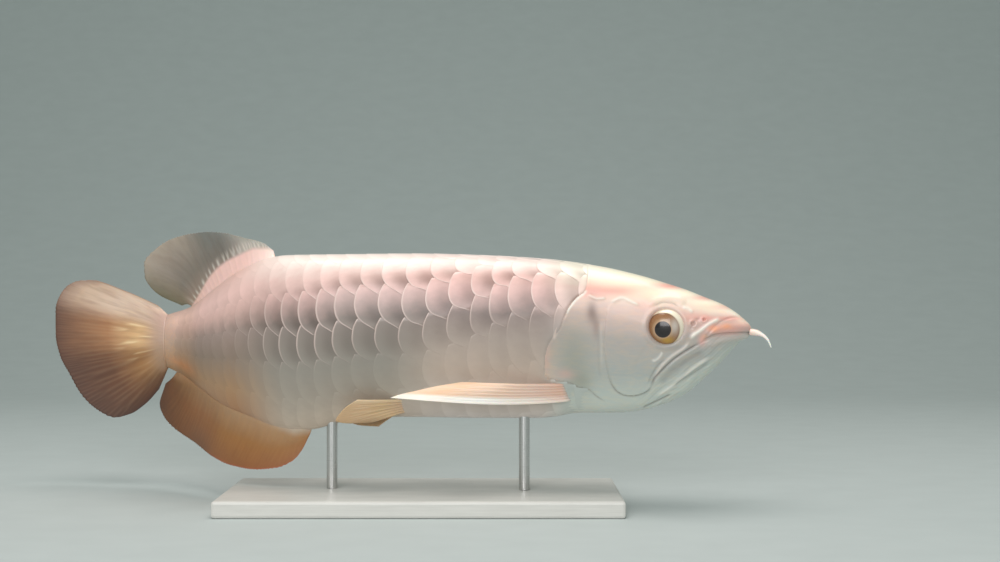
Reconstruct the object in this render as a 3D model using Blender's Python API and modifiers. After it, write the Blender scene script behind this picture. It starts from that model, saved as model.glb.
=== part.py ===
"""Asian arowana, a still life-size display model on a flat base with two rods.

The fish is drawn in body coordinates: station s runs back from the snout along
the middle of the body, y points to the fish's left and z points up. The bend
function lays these on the curved middle line, with the head toward +X.
Sizes below are in millimetres, and MM turns them to metres.
"""

import math

import bmesh
import bpy
import numpy as np

MM = 0.001
GAP = 0.3  # between solids that meet

# The middle line: heading in degrees at a station, swung toward the fish's left
TURN = [(-40, 10), (100, 8), (220, 2), (320, 8), (395, 38), (432, 47), (472, 26), (515, 9), (610, 3)]
ORIGIN_STATION = 235  # this station stands over the middle of the base
LINE_START, LINE_END, LINE_STEP = -60.0, 640.0, 1.0

# The body's profile: height above the floor or half width at a station
TOP = [(-5.5, 131), (-2.4, 135.8), (2, 140), (7, 144), (16, 149.3), (30, 155), (42, 159.8), (58, 165),
       (73, 169.6), (101, 176.4), (125, 180.3), (148, 182.8), (193, 185.5), (240, 186.6), (290, 186.2),
       (335, 185.7), (352, 183.8), (368, 178.3), (383, 171.8), (400, 163.6), (425, 152), (443, 145.6),
       (470, 139.5)]
BOTTOM = [(-5.5, 130), (-2.4, 126), (2, 123.2), (7, 118), (16, 108), (30, 94.3), (42, 84.2),
          (58, 76.4), (73, 72), (90, 69.7), (123, 68.8), (136, 66.2), (150, 64.9), (193, 64.6),
          (250, 65.2), (280, 64), (296, 61), (306, 58), (318, 55.2), (332, 54.4), (346, 56),
          (358, 59.4), (371, 63.4), (395, 69.8), (425, 80.8), (445, 88.3), (470, 96.5)]
HALF_WIDTH = [(-5.5, 1.2), (-2.4, 5), (2, 8), (9, 11), (18, 14), (30, 17.3), (45, 20.4), (60, 22.7),
              (78, 24.8), (100, 27), (125, 28.5), (150, 28.2), (185, 27.6), (240, 27), (290, 25),
              (330, 21.6), (360, 17.6), (390, 14), (420, 10.6), (445, 8), (470, 5.6)]
# Level of the widest line as a share of the depth, and the superellipse powers above and below it
WIDEST = [(-5, 0.55), (40, 0.62), (90, 0.6), (150, 0.6), (300, 0.62), (400, 0.56), (470, 0.5)]
CROWN = [(-5, 2.2), (40, 2.7), (120, 2.6), (200, 2.35), (350, 2.2), (470, 2.1)]
KEEL = [(-5, 2.0), (60, 1.95), (140, 1.75), (300, 1.7), (400, 1.85), (470, 2.1)]

HEAD_END = 150  # the head and shoulder loft ends here, and the trunk begins
BODY_END = 470  # root of the caudal fin
PARTINGS = [292, 404]  # thin cuts between the lengths of the trunk

# The scales: stations of the columns' free edges, in the row three down from the one on the midline
COLUMN_STATION = [(0, 135.5), (2, 170), (4, 199), (5, 216), (9, 283), (11, 311.5), (13, 336.5),
                  (17, 384), (22, 444), (24, 468)]
COLUMNS = 23
ROW_MIDDLE = 3
ROW_LAG = 0.12  # each row below lags this much toward the tail, in columns
ROWS = 5.5  # rows on a side, counted from the middle of the one on the back's midline
ROW_SHARE = [(0, 0), (4, 0.7), (5.5, 1)]  # share of the way from back to belly at a row's middle
# Toward the head the rows rise: shares over the even part are raised to this power at a station
ROW_RISE = [(136, 2.1), (156, 1.99), (171, 1.82), (187, 1.52), (200, 1.3), (217, 1.14), (240, 1)]
ROW_EVEN = 0.25
# The free edge of a scale: share of the row from its middle down, columns forward of its hindmost point
SCALE_EDGE = [(-0.62, 0.33), (-0.3, 0.07), (0, 0), (0.2, 0.06)]
SCALE_LIFT = 0.9  # how far a free edge stands over the next scale
EDGE_STEP = 0.14  # width of the step down at a free edge, in columns

EYE_STATION, EYE_HEIGHT, EYE_RADIUS, EYE_BULGE = 55.8, 133.4, 13.4, 9.0
EYE_SINK = 5.0  # depth of the eye's middle under the flank

# Forms of the face in side view: (line of station and height, half width, rise)
LIP = [(-6, 133.2), (2, 132.6), (9, 132), (16, 131.5), (23, 129.5), (29, 125.5)]
MAXILLA = [(20, 138.2), (26, 135.7), (31, 131.4), (36, 128), (43, 118.6), (53, 111), (61, 102.4), (66, 94)]
CHEEK = [(96, 150), (99, 134.6), (99.7, 120.3), (98.4, 108), (95, 93), (90, 86.4), (80, 83.4), (72, 85.3)]
JAW_FOLD = [(24.5, 108), (34.5, 100.8), (43, 95.6), (52, 88), (60, 80)]
BROW = [(40, 146.5), (48, 151), (57, 152.5), (67, 149)]
GULAR = [(51.7, 84.7), (65, 77), (80, 72.5)]
FACE_FORMS = [(LIP, 2.6, 1.0), (MAXILLA, 2.8, 1.1), (CHEEK, 2.6, -1.1), (JAW_FOLD, 2.6, -0.9),
              (BROW, 3.2, 1.3), (GULAR, 2.4, -0.7)]
NOSTRILS = [(36, 136.6, 1.6), (28, 139, 1.2)]  # station, height and radius of each opening
NOSTRIL_DEPTH = 2.0
MOUTH = [(-9, 130.3), (8.3, 128.8), (16.5, 128), (23, 126), (31, 121.2), (39.4, 116.2), (49.6, 109.6),
         (58.2, 101.6), (65.5, 91.5)]
JAW_HINGE = [(69, 86), (64, 79), (61, 66)]

# The cut between head and shoulder, and the front and rear edges of the gill cover
GILL_OPENING = [(117.5, 200), (117.5, 166), (124.5, 158), (131.5, 148), (136, 138), (142.5, 125),
                (146.5, 112), (146.5, 100), (140, 95), (127, 89), (112, 84.5), (104, 80), (99, 60)]
GILL_FRONT = [(0, 105, 160.5), (0.25, 103.5, 140), (0.5, 103.5, 118), (0.8, 103.5, 98), (1, 104, 88.5)]
GILL_REAR = [(0, 112, 161.5), (0.15, 121, 153.8), (0.35, 129, 142), (0.5, 134.5, 132), (0.68, 141, 120),
             (0.82, 143.8, 108), (0.93, 138, 98), (1, 126, 92.5)]
GILL_THICKNESS = 2.6
GILL_LIFT = 0.7  # how far the cover stands over the flank

# Fins laid out in station and height: share across the rays, station, height
DORSAL_ROOT = (347, 438)
DORSAL_EDGE = [(0, 350, 189.5), (0.08, 358, 195), (0.2, 373, 198.6), (0.35, 396, 203.2), (0.5, 421, 204.6),
               (0.62, 445, 203.6), (0.72, 466, 200), (0.79, 482, 192), (0.86, 492.5, 180), (0.9, 492, 170),
               (0.93, 486, 161), (0.96, 475, 153.5), (1, 453, 146.5)]
ANAL_ROOT = (318, 458)
ANAL_EDGE = [(0, 321, 50), (0.03, 326, 40), (0.06, 334, 31), (0.1, 347, 25.6), (0.2, 366, 23.7),
             (0.35, 390, 25.5), (0.5, 411, 30), (0.65, 434, 37.5), (0.8, 459, 46), (0.9, 474, 58),
             (0.96, 477, 68), (1, 471, 84)]
CAUDAL_EDGE = [(0, 480, 146.5), (0.04, 510, 158.5), (0.08, 537, 167), (0.12, 549, 166.4), (0.22, 563, 157.5),
               (0.33, 568.5, 142), (0.45, 568.5, 122), (0.56, 565, 105), (0.66, 557, 90), (0.75, 547, 73.5),
               (0.83, 533, 61), (0.89, 518, 55), (0.94, 504, 58.5), (0.975, 490, 67.5), (1, 478, 79)]
MEDIAN_SINK = 2.5  # how deep the fins' roots lie in the body
RAY_RISE = 0.4  # how far a ray stands over the membrane, each side

# Paired fins: share across the rays, then station and height on the flank, or station, width, height
PECTORAL_ROOT = [(0, 125, 78.3), (1, 130, 91)]
PECTORAL_TIP = [(0, 253, 47, 83.5), (0.25, 247, 45, 85.6), (0.5, 236, 42, 88), (0.75, 222, 38, 91),
                (1, 204, 33, 93.6)]
PECTORAL_SAG = 3.2  # how far its lower edge sags under the straight line from root to tip
PELVIC_ROOT = [(0, 249, 78), (1, 247, 68)]
PELVIC_TIP = [(0, 279, 27, 80.3), (0.25, 288, 28, 74), (0.5, 294.5, 26, 65), (0.75, 284, 20, 62.6),
              (1, 270, 13, 62.8)]
LEFT_DROOP = 2.0  # the far pectoral hangs this much lower at its tip, the pelvic three times as much

# Feeler at the chin: share of its length, station, width, height, radius
BARBEL = [(0, -4.2, 3.2, 129.4, 2.4), (0.25, -8.4, 4.8, 128.8, 2.1), (0.5, -12.6, 6.4, 127.2, 1.2),
          (0.75, -16.3, 7.6, 123.8, 0.8), (1, -18.6, 8.2, 118.6, 0.35)]

# The stand
BASE_LENGTH, BASE_WIDTH, BASE_HEIGHT, BASE_BEVEL = 290, 116, 12, 2
ROD_RADIUS, ROD_SINK = 4.0, 5.0
ROD_STATIONS = [160, 303]

CUTTER_REACH = 60  # half width of the cutting slabs
CUTTER_LOW, CUTTER_HIGH = 20, 230


def curve(keys, at):
    """Smooth curve through the keys that never swings past them."""
    x, y = np.array(keys, float).T
    slope = np.diff(y) / np.diff(x)
    tangent = np.concatenate([slope[:1], np.zeros(len(x) - 2), slope[-1:]])
    for i in range(1, len(x) - 1):
        if slope[i - 1] * slope[i] > 0:
            tangent[i] = 2 * slope[i - 1] * slope[i] / (slope[i - 1] + slope[i])
    at = np.clip(at, x[0], x[-1])
    i = np.clip(np.searchsorted(x, at, side="right") - 1, 0, len(x) - 2)
    h = x[i + 1] - x[i]
    t = (at - x[i]) / h
    rise = (3 - 2 * t) * t * t
    return (y[i] * (1 - rise) + y[i + 1] * rise
            + h * t * (1 - t) * (tangent[i] * (1 - t) - tangent[i + 1] * t))


line_s = np.arange(LINE_START, LINE_END, LINE_STEP)
line_turn = np.radians(curve(TURN, line_s))
line_x = -np.cumsum(np.cos(line_turn)) * LINE_STEP
line_y = np.cumsum(np.sin(line_turn)) * LINE_STEP
line_x -= np.interp(ORIGIN_STATION, line_s, line_x)
line_y -= np.interp(ORIGIN_STATION, line_s, line_y)


def bend(points):
    """Body coordinates (s, y, z) in millimetres to the world in metres."""
    s, y, z = np.asarray(points, float).T
    turn = np.radians(curve(TURN, s))
    world_x = np.interp(s, line_s, line_x) + y * np.sin(turn)
    world_y = np.interp(s, line_s, line_y) + y * np.cos(turn)
    return np.stack([world_x, world_y, z], axis=1) * MM


def section(s):
    """Half of the cross-section at s: y and z from back to belly, and the share of the way round."""
    top, bottom, width = curve(TOP, s), curve(BOTTOM, s), curve(HALF_WIDTH, s)
    level = bottom + (top - bottom) * curve(WIDEST, s)
    angle = np.linspace(0, math.pi, 181)
    cosine, sine = np.cos(angle), np.sin(angle)
    power = 2 / np.where(cosine > 0, curve(CROWN, s), curve(KEEL, s))
    reach = np.where(cosine > 0, top - level, bottom - level)
    z = level + reach * np.abs(cosine) ** power
    y = width * np.clip(sine, 0, 1) ** power
    share = np.concatenate([[0], np.cumsum(np.hypot(np.diff(y), np.diff(z)))])
    return y, z, share / share[-1]


def skin(s, v, lift=0.0):
    """Point at share v round the section at s, and lift out from it, on the fish's left."""
    y, z, share = section(s)
    step = 0.004
    low, high = max(v - step, 0.0), min(v + step, 1.0)
    run_y, run_z = np.interp([low, high], share, y), np.interp([low, high], share, z)
    out = np.array([run_z[0] - run_z[1], run_y[1] - run_y[0]])
    if v < step:
        out = np.array([0.0, 1.0])
    if v > 1 - step:
        out = np.array([0.0, -1.0])
    out = out / np.linalg.norm(out) * lift
    return (s, np.interp(v, share, y) + out[0], np.interp(v, share, z) + out[1])


def flank(s, z, lift=0.0):
    """Point of the skin at height z on the section at s, on the fish's left."""
    across, height, share = section(s)
    v = np.interp(-z, -height, share)
    return skin(s, float(v), lift)


def new_object(name, verts, faces, group, smooth=True):
    """Object from points in body coordinates, its faces turned outward."""
    mesh = bpy.data.meshes.new(name)
    mesh.from_pydata(bend(verts).tolist(), [], faces)
    work = bmesh.new()
    work.from_mesh(mesh)
    bmesh.ops.recalc_face_normals(work, faces=work.faces)
    if work.calc_volume(signed=True) < 0:
        bmesh.ops.reverse_faces(work, faces=work.faces)
    bmesh.ops.triangulate(work, faces=[f for f in work.faces if len(f.verts) > 4])
    work.to_mesh(mesh)
    work.free()
    if smooth:
        mesh.shade_smooth()
        mesh.set_sharp_from_angle(angle=math.radians(40))
    obj = bpy.data.objects.new(name, mesh)
    group.objects.link(obj)
    return obj


def loft(name, rings, group):
    """Closed solid through rings of equal count, with a fan at each end."""
    count = len(rings[0])
    verts = [point for ring in rings for point in ring]
    faces = []
    for i in range(len(rings) - 1):
        for j in range(count):
            k = (j + 1) % count
            faces.append((i * count + j, i * count + k, (i + 1) * count + k, (i + 1) * count + j))
    for start in (0, (len(rings) - 1) * count):
        verts.append(tuple(np.mean(verts[start:start + count], axis=0)))
        middle = len(verts) - 1
        for j in range(count):
            faces.append((start + j, start + (j + 1) % count, middle))
    return new_object(name, verts, faces, group)


def body_ring(stations, shares, lifts):
    """Ring round the body: left side from back to belly, then right side from belly to back."""
    left = [skin(s, v, lift) for s, v, lift in zip(stations, shares, lifts)]
    right = [(s, -y, z) for s, y, z in left[-2:0:-1]]
    return left + right


def prism(name, outline, half_width, group):
    """Solid with a side outline in station and height, as wide as given to both sides."""
    count = len(outline)
    verts = [(s, -half_width, z) for s, z in outline] + [(s, half_width, z) for s, z in outline]
    faces = [tuple(range(count)), tuple(range(2 * count - 1, count - 1, -1))]
    faces += [(i, (i + 1) % count, (i + 1) % count + count, i + count) for i in range(count)]
    return new_object(name, verts, faces, group, smooth=False)


def sheet(name, middle, normal, thickness, group):
    """Closed sheet about a grid of middle points, split into triangles alike on both faces."""
    middle = np.asarray(middle, float)
    half = np.asarray(normal, float) * (np.asarray(thickness, float) / 2)[..., None]
    rows, cols = middle.shape[:2]
    front = (middle + half).reshape(-1, 3)
    back = (middle - half).reshape(-1, 3)
    verts = np.vstack([front, back])
    shift = rows * cols
    faces = []
    for i in range(rows - 1):
        for j in range(cols - 1):
            a, b = i * cols + j, i * cols + j + 1
            c, d = b + cols, a + cols
            faces += [(a, b, c), (a, c, d)]
            faces += [(a + shift, c + shift, b + shift), (a + shift, d + shift, c + shift)]
    rim = [i * cols for i in range(rows)] + [(rows - 1) * cols + j for j in range(1, cols)]
    rim += [i * cols + cols - 1 for i in range(rows - 2, -1, -1)] + [j for j in range(cols - 2, 0, -1)]
    for a, b in zip(rim, rim[1:] + rim[:1]):
        faces += [(a, b, b + shift), (a, b + shift, a + shift)]
    return new_object(name, verts, faces, group)


def boolean(obj, cutter, operation):
    """Apply one boolean to the object's mesh."""
    change = obj.modifiers.new(operation, "BOOLEAN")
    change.operation = operation
    change.solver = "EXACT"
    change.object = cutter
    graph = bpy.context.evaluated_depsgraph_get()
    mesh = bpy.data.meshes.new_from_object(obj.evaluated_get(graph))
    obj.modifiers.remove(change)
    obj.data = mesh


def loose_parts(obj):
    """Faces of each closed surface of the object, as lists, largest volume first."""
    work = bmesh.new()
    work.from_mesh(obj.data)
    seen, parts = set(), []
    for face in work.faces:
        if face.index in seen:
            continue
        seen.add(face.index)
        stack, part = [face], []
        while stack:
            current = stack.pop()
            part.append(current)
            for edge in current.edges:
                for other in edge.link_faces:
                    if other.index not in seen:
                        seen.add(other.index)
                        stack.append(other)
        volume = 0.0
        for each in part:
            corners = [v.co for v in each.verts]
            for i in range(1, len(corners) - 1):
                volume += corners[0].dot(corners[i].cross(corners[i + 1])) / 6
        parts.append((abs(volume), sorted(each.index for each in part)))
    work.free()
    return [part for volume, part in sorted(parts, reverse=True)]


def keep_part(obj, part):
    """Delete every face that isn't in the part."""
    keep = set(part)
    work = bmesh.new()
    work.from_mesh(obj.data)
    doomed = [face for face in work.faces if face.index not in keep]
    bmesh.ops.delete(work, geom=doomed, context="FACES")
    loose = [vert for vert in work.verts if not vert.link_faces]
    bmesh.ops.delete(work, geom=loose, context="VERTS")
    bmesh.ops.triangulate(work, faces=work.faces)
    bmesh.ops.dissolve_degenerate(work, dist=1e-6, edges=work.edges)
    mesh = bpy.data.meshes.new(obj.name)
    work.to_mesh(mesh)
    work.free()
    mesh.shade_smooth()
    mesh.set_sharp_from_angle(angle=math.radians(40))
    obj.data = mesh


def keep_largest(obj):
    keep_part(obj, loose_parts(obj)[0])


def split(obj, names, group):
    """Make one object for each of the largest closed surfaces, from head to tail."""
    parts = loose_parts(obj)[:len(names)]

    def reach(part):
        return -max(obj.data.vertices[v].co.x for f in part for v in obj.data.polygons[f].vertices)

    made = []
    for name, part in zip(names, sorted(parts, key=reach)):
        piece = bpy.data.objects.new(name, obj.data.copy())
        group.objects.link(piece)
        keep_part(piece, part)
        made.append(piece)
    bpy.data.objects.remove(obj)
    return made


def material(obj, color, roughness, metallic=0.0):
    """Principled finish in the part's own colour."""
    finish = bpy.data.materials.new(obj.name)
    finish.use_nodes = True
    shader = finish.node_tree.nodes["Principled BSDF"]
    shader.inputs["Base Color"].default_value = (*color, 1)
    shader.inputs["Roughness"].default_value = roughness
    shader.inputs["Metallic"].default_value = metallic
    obj.data.materials.clear()
    obj.data.materials.append(finish)


def distance(place, line):
    """Distance in side view from a place to a line of points."""
    a, b = np.array(line[:-1], float), np.array(line[1:], float)
    along = b - a
    share = np.clip(((place - a) * along).sum(axis=1) / (along ** 2).sum(axis=1), 0, 1)
    return float(np.linalg.norm(place - a - along * share[:, None], axis=1).min())


def head_relief(s, z):
    """Rise or dip of the head's surface for its folds, at a place in side view."""
    place = np.array([s, z])
    rise = 0.0
    for line, half_width, height in FACE_FORMS:
        rise += height * math.exp(-(distance(place, line) / half_width) ** 2)
    return rise


def make_head_loft(group):
    """Snout to shoulder, with the creases of the face in its surface."""
    around = 22
    stations = [-5.4, -3.6, -1.4, 1.2, 4.2]
    stations += list(np.linspace(8, 104, 23)) + list(np.linspace(114, HEAD_END, 4))
    shares = np.linspace(0, 1, around + 1)
    rings = []
    for s in stations:
        heights = [skin(s, v)[2] for v in shares]
        lifts = [head_relief(s, z) * min(1.0, 12 * v * (1 - v)) for v, z in zip(shares, heights)]
        rings.append(body_ring([s] * len(shares), shares, lifts))
    return loft("head", rings, group)


def column_station(column):
    return float(curve([(c, s) for c, s in COLUMN_STATION], column))


def row_lines():
    """Lines along the body: place counted in rows, lag in columns, and where the last one ends."""
    lines = []
    for row in range(int(ROWS) + 1):
        for offset, forward in SCALE_EDGE:
            if row + offset >= 0:
                lines.append((row + offset, (row - ROW_MIDDLE) * ROW_LAG - forward))
    lines.append((ROWS, (ROWS - ROW_MIDDLE) * ROW_LAG - SCALE_EDGE[0][1]))
    return lines


def make_trunk(group):
    """Trunk and tail as one loft whose rings follow the free edges of the scales."""
    lines = row_lines()
    plain = np.interp([place for place, _ in lines], *np.array(ROW_SHARE, float).T)
    start, last_gap = HEAD_END + GAP, 8

    def ring(stations, lift):
        power = np.interp(stations, *np.array(ROW_RISE, float).T)
        shares = plain * np.maximum(plain, ROW_EVEN) ** (power - 1)
        return body_ring(stations, shares, [lift] * len(lines))

    rings = [ring([start] * len(lines), 0)]
    for column in range(2, COLUMNS + 1):
        pitch = column_station(column + 1) - column_station(column)
        for offset, height in ((0, 1), (EDGE_STEP, 0)):
            stations = [column_station(column + offset + lag) for _, lag in lines]
            if min(stations) > start + 1 and max(stations) < BODY_END - last_gap:
                rings.append(ring(stations, SCALE_LIFT * height * pitch / 15))
    rings.append(ring([BODY_END] * len(lines), 0))
    return loft("trunk", rings, group)


def fin_grid(root, edge, across, along, sweep):
    """Grid of station and height from the root line to the edge, bowed by the sweep."""
    grid = np.zeros((across, along, 2))
    for i, u in enumerate(np.linspace(0, 1, across)):
        base = np.array(root(u))
        tip = np.array([curve([k[:2] for k in edge], u), curve([(k[0], k[2]) for k in edge], u)])
        for j, t in enumerate(np.linspace(0, 1, along)):
            grid[i, j] = base + (tip - base) * t + np.array([0, sweep]) * math.sin(math.pi * t)
    return grid


def upright_fin(name, root, edge, across, along, sweep, thickness, group):
    """Fin that stands in the fish's middle plane."""
    grid = fin_grid(root, edge, across, along, sweep)
    middle = np.stack([grid[..., 0], np.zeros_like(grid[..., 0]), grid[..., 1]], axis=-1)
    normal = np.zeros_like(middle)
    normal[..., 1] = 1
    thick = np.array([[thickness(i, j, across, along) for j in range(along)] for i in range(across)])
    return sheet(name, middle, normal, thick, group)


def ray_thickness(i, j, across, along, flesh, root_share, membrane):
    """Membrane that thins to the edge, with a ray on every second line and flesh at the root."""
    t = j / (along - 1)
    thick = membrane * (1 - 0.45 * t) + flesh * max(0.0, 1 - t / root_share) ** 1.5
    if i % 2 and t < 0.95:
        thick += 2 * RAY_RISE * (1 - 0.7 * t)
    return thick


def make_median_fins(group):
    """Dorsal, anal and caudal fins, whose roots sink into the body."""
    def dorsal_root(u):
        s = DORSAL_ROOT[0] + (DORSAL_ROOT[1] - DORSAL_ROOT[0]) * u
        return s, float(curve(TOP, s)) - MEDIAN_SINK

    def anal_root(u):
        s = ANAL_ROOT[0] + (ANAL_ROOT[1] - ANAL_ROOT[0]) * u
        return s, float(curve(BOTTOM, s)) + MEDIAN_SINK

    def caudal_root(u):
        top, bottom = curve(TOP, BODY_END), curve(BOTTOM, BODY_END)
        inset = 0.6
        return BODY_END + GAP, float(top - inset + (bottom - top + 2 * inset) * u)

    def dorsal_thickness(i, j, across, along):
        return ray_thickness(i, j, across, along, 4.2, 0.5, 1.3)

    def anal_thickness(i, j, across, along):
        return ray_thickness(i, j, across, along, 3.0, 0.4, 1.3)

    def caudal_thickness(i, j, across, along):
        u = i / (across - 1)
        flesh = 9.5 * math.sqrt(max(0.0, 1 - (2 * u - 1) ** 2))
        return ray_thickness(i, j, across, along, flesh, 0.42, 1.4)

    dorsal = upright_fin("dorsal_fin", dorsal_root, DORSAL_EDGE, 25, 8, 2.0, dorsal_thickness, group)
    anal = upright_fin("anal_fin", anal_root, ANAL_EDGE, 29, 7, -1.0, anal_thickness, group)
    caudal = upright_fin("caudal_fin", caudal_root, CAUDAL_EDGE, 29, 8, 0.0, caudal_thickness, group)
    return dorsal, anal, caudal


def grown(name, obj, amount, group):
    """Copy of an object with its skin moved out, as a cutter that leaves the gap."""
    mesh = obj.data.copy()
    work = bmesh.new()
    work.from_mesh(mesh)
    work.normal_update()
    moves = {}
    for vert in work.verts:
        moves[vert.index] = vert.normal * vert.calc_shell_factor() * amount * MM
    for vert in work.verts:
        vert.co += moves[vert.index]
    work.to_mesh(mesh)
    work.free()
    cutter = bpy.data.objects.new(name, mesh)
    cutter.location = obj.location
    group.objects.link(cutter)
    cutter.hide_render = True
    cutter.display_type = "WIRE"
    return cutter


def paired_fin(name, side, root, tip, bow, sag, droop, across, along, membrane, flesh, group):
    """Fin on the flank whose rays spread from a short root to the tips."""
    middle = np.zeros((across, along, 3))
    for i, u in enumerate(np.linspace(0, 1, across)):
        s, z = curve([k[:2] for k in root], u), curve([(k[0], k[2]) for k in root], u)
        base = np.array(flank(float(s), float(z), -2.5))
        end = np.array([curve([(k[0], k[n]) for k in tip], u) for n in (1, 2, 3)])
        for j, t in enumerate(np.linspace(0, 1, along)):
            arc = math.sin(math.pi * t ** 0.8)
            low = sag * (1 - u) * arc + droop * t * t
            point = base + (end - base) * t + np.array([0, bow * arc, -low])
            middle[i, j] = point * [1, side, 1]
    along_ray = np.gradient(middle, axis=1)
    across_rays = np.gradient(middle, axis=0)
    normal = np.cross(along_ray, across_rays)
    normal /= np.linalg.norm(normal, axis=-1)[..., None]
    thick = np.array([[ray_thickness(i, j, across, along, flesh, 0.3, membrane)
                       for j in range(along)] for i in range(across)])
    return sheet(name, middle, normal, thick, group)


def make_paired_fins(group):
    fins = []
    for side, word, droop in ((-1, "right", 0.0), (1, "left", LEFT_DROOP)):
        fins.append(paired_fin(f"pectoral_fin_{word}", side, PECTORAL_ROOT, PECTORAL_TIP, 9, PECTORAL_SAG,
                               droop, 11, 8, 1.3, 2.6, group))
        fins.append(paired_fin(f"pelvic_fin_{word}", side, PELVIC_ROOT, PELVIC_TIP, 3, 0,
                               3 * droop, 9, 7, 1.2, 1.6, group))
    return fins


def ball(name, centre, radii, group, segments=14, rings=8):
    """Ellipsoid with its own axes along the body's."""
    mesh = bpy.data.meshes.new(name)
    work = bmesh.new()
    bmesh.ops.create_uvsphere(work, u_segments=segments, v_segments=rings, radius=1)
    points = [(centre[0] + v.co.x * radii[0], centre[1] + v.co.z * radii[1], centre[2] - v.co.y * radii[2])
              for v in work.verts]
    for vert, place in zip(work.verts, bend(points)):
        vert.co = place
    bmesh.ops.recalc_face_normals(work, faces=work.faces)
    work.to_mesh(mesh)
    work.free()
    mesh.shade_smooth()
    obj = bpy.data.objects.new(name, mesh)
    group.objects.link(obj)
    return obj


def gill_cover(name, side, group):
    """Curved plate over the gills, laid on the flank."""
    across, along = 9, 7
    middle = np.zeros((across, along, 3))
    normal = np.zeros((across, along, 3))
    for i, b in enumerate(np.linspace(0, 1, across)):
        front = np.array([curve([(k[0], k[n]) for k in GILL_FRONT], b) for n in (1, 2)])
        rear = np.array([curve([(k[0], k[n]) for k in GILL_REAR], b) for n in (1, 2)])
        for j, a in enumerate(np.linspace(0, 1, along)):
            s, z = front + (rear - front) * a
            inner = np.array(flank(s, z, GILL_LIFT - GILL_THICKNESS))
            outer = np.array(flank(s, z, GILL_LIFT))
            middle[i, j] = (inner + outer) / 2 * [1, side, 1]
            normal[i, j] = (outer - inner) / GILL_THICKNESS * [1, side, 1]
    thick = np.full((across, along), GILL_THICKNESS)
    thick[:, -1] = 0.5 * GILL_THICKNESS
    return sheet(name, middle, normal, thick, group)


def barbel(name, side, group):
    """Tapered feeler from the tip of the lower jaw."""
    count, steps = 8, 9
    rings = []
    for t in np.linspace(0, 1, steps):
        point = np.array([curve([(k[0], k[n]) for k in BARBEL], t) for n in (1, 2, 3)])
        ahead = np.array([curve([(k[0], k[n]) for k in BARBEL], min(t + 0.05, 1)) for n in (1, 2, 3)])
        behind = np.array([curve([(k[0], k[n]) for k in BARBEL], max(t - 0.05, 0)) for n in (1, 2, 3)])
        way = (ahead - behind) / np.linalg.norm(ahead - behind)
        one = np.cross(way, [0, 1, 0])
        one /= np.linalg.norm(one)
        two = np.cross(way, one)
        radius = float(curve([(k[0], k[4]) for k in BARBEL], t))
        rings.append([tuple((point + radius * (one * math.cos(a) + two * math.sin(a))) * [1, side, 1])
                      for a in np.linspace(0, 2 * math.pi, count, endpoint=False)])
    return loft(name, rings, group)


def make_stand(group):
    """Flat base and two rods up into the belly."""
    bpy.ops.mesh.primitive_cube_add(size=1, location=(0, 0, BASE_HEIGHT * MM / 2))
    base = bpy.context.object
    base.name = "stand_base"
    base.data.name = "stand_base"
    for vert in base.data.vertices:
        vert.co = [c * size * MM for c, size in zip(vert.co, (BASE_LENGTH, BASE_WIDTH, BASE_HEIGHT))]
    for other in base.users_collection:
        other.objects.unlink(base)
    group.objects.link(base)
    rounding = base.modifiers.new("rounded edges", "BEVEL")
    rounding.width = BASE_BEVEL * MM
    rounding.segments = 2
    rods = []
    for word, station in zip(("front", "rear"), ROD_STATIONS):
        foot = bend([(station, 0, 0)])[0]
        low = BASE_HEIGHT + GAP
        high = float(curve(BOTTOM, station)) + ROD_SINK
        bpy.ops.mesh.primitive_cylinder_add(vertices=20, radius=ROD_RADIUS * MM, depth=(high - low) * MM,
                                            location=(foot[0], foot[1], (high + low) * MM / 2))
        rod = bpy.context.object
        rod.name = f"stand_rod_{word}"
        for other in rod.users_collection:
            other.objects.unlink(rod)
        group.objects.link(rod)
        rod.data.shade_smooth()
        rod.data.set_sharp_from_angle(angle=math.radians(40))
        rods.append(rod)
    return base, rods


def offset_line(line, amount):
    """Line moved sideways by the amount, to the side that lies above it when it runs back."""
    points = np.array(line, float)
    way = np.gradient(points, axis=0)
    way /= np.linalg.norm(way, axis=1)[:, None]
    return [tuple(p) for p in points + np.stack([-way[:, 1], way[:, 0]], axis=1) * amount]


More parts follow.
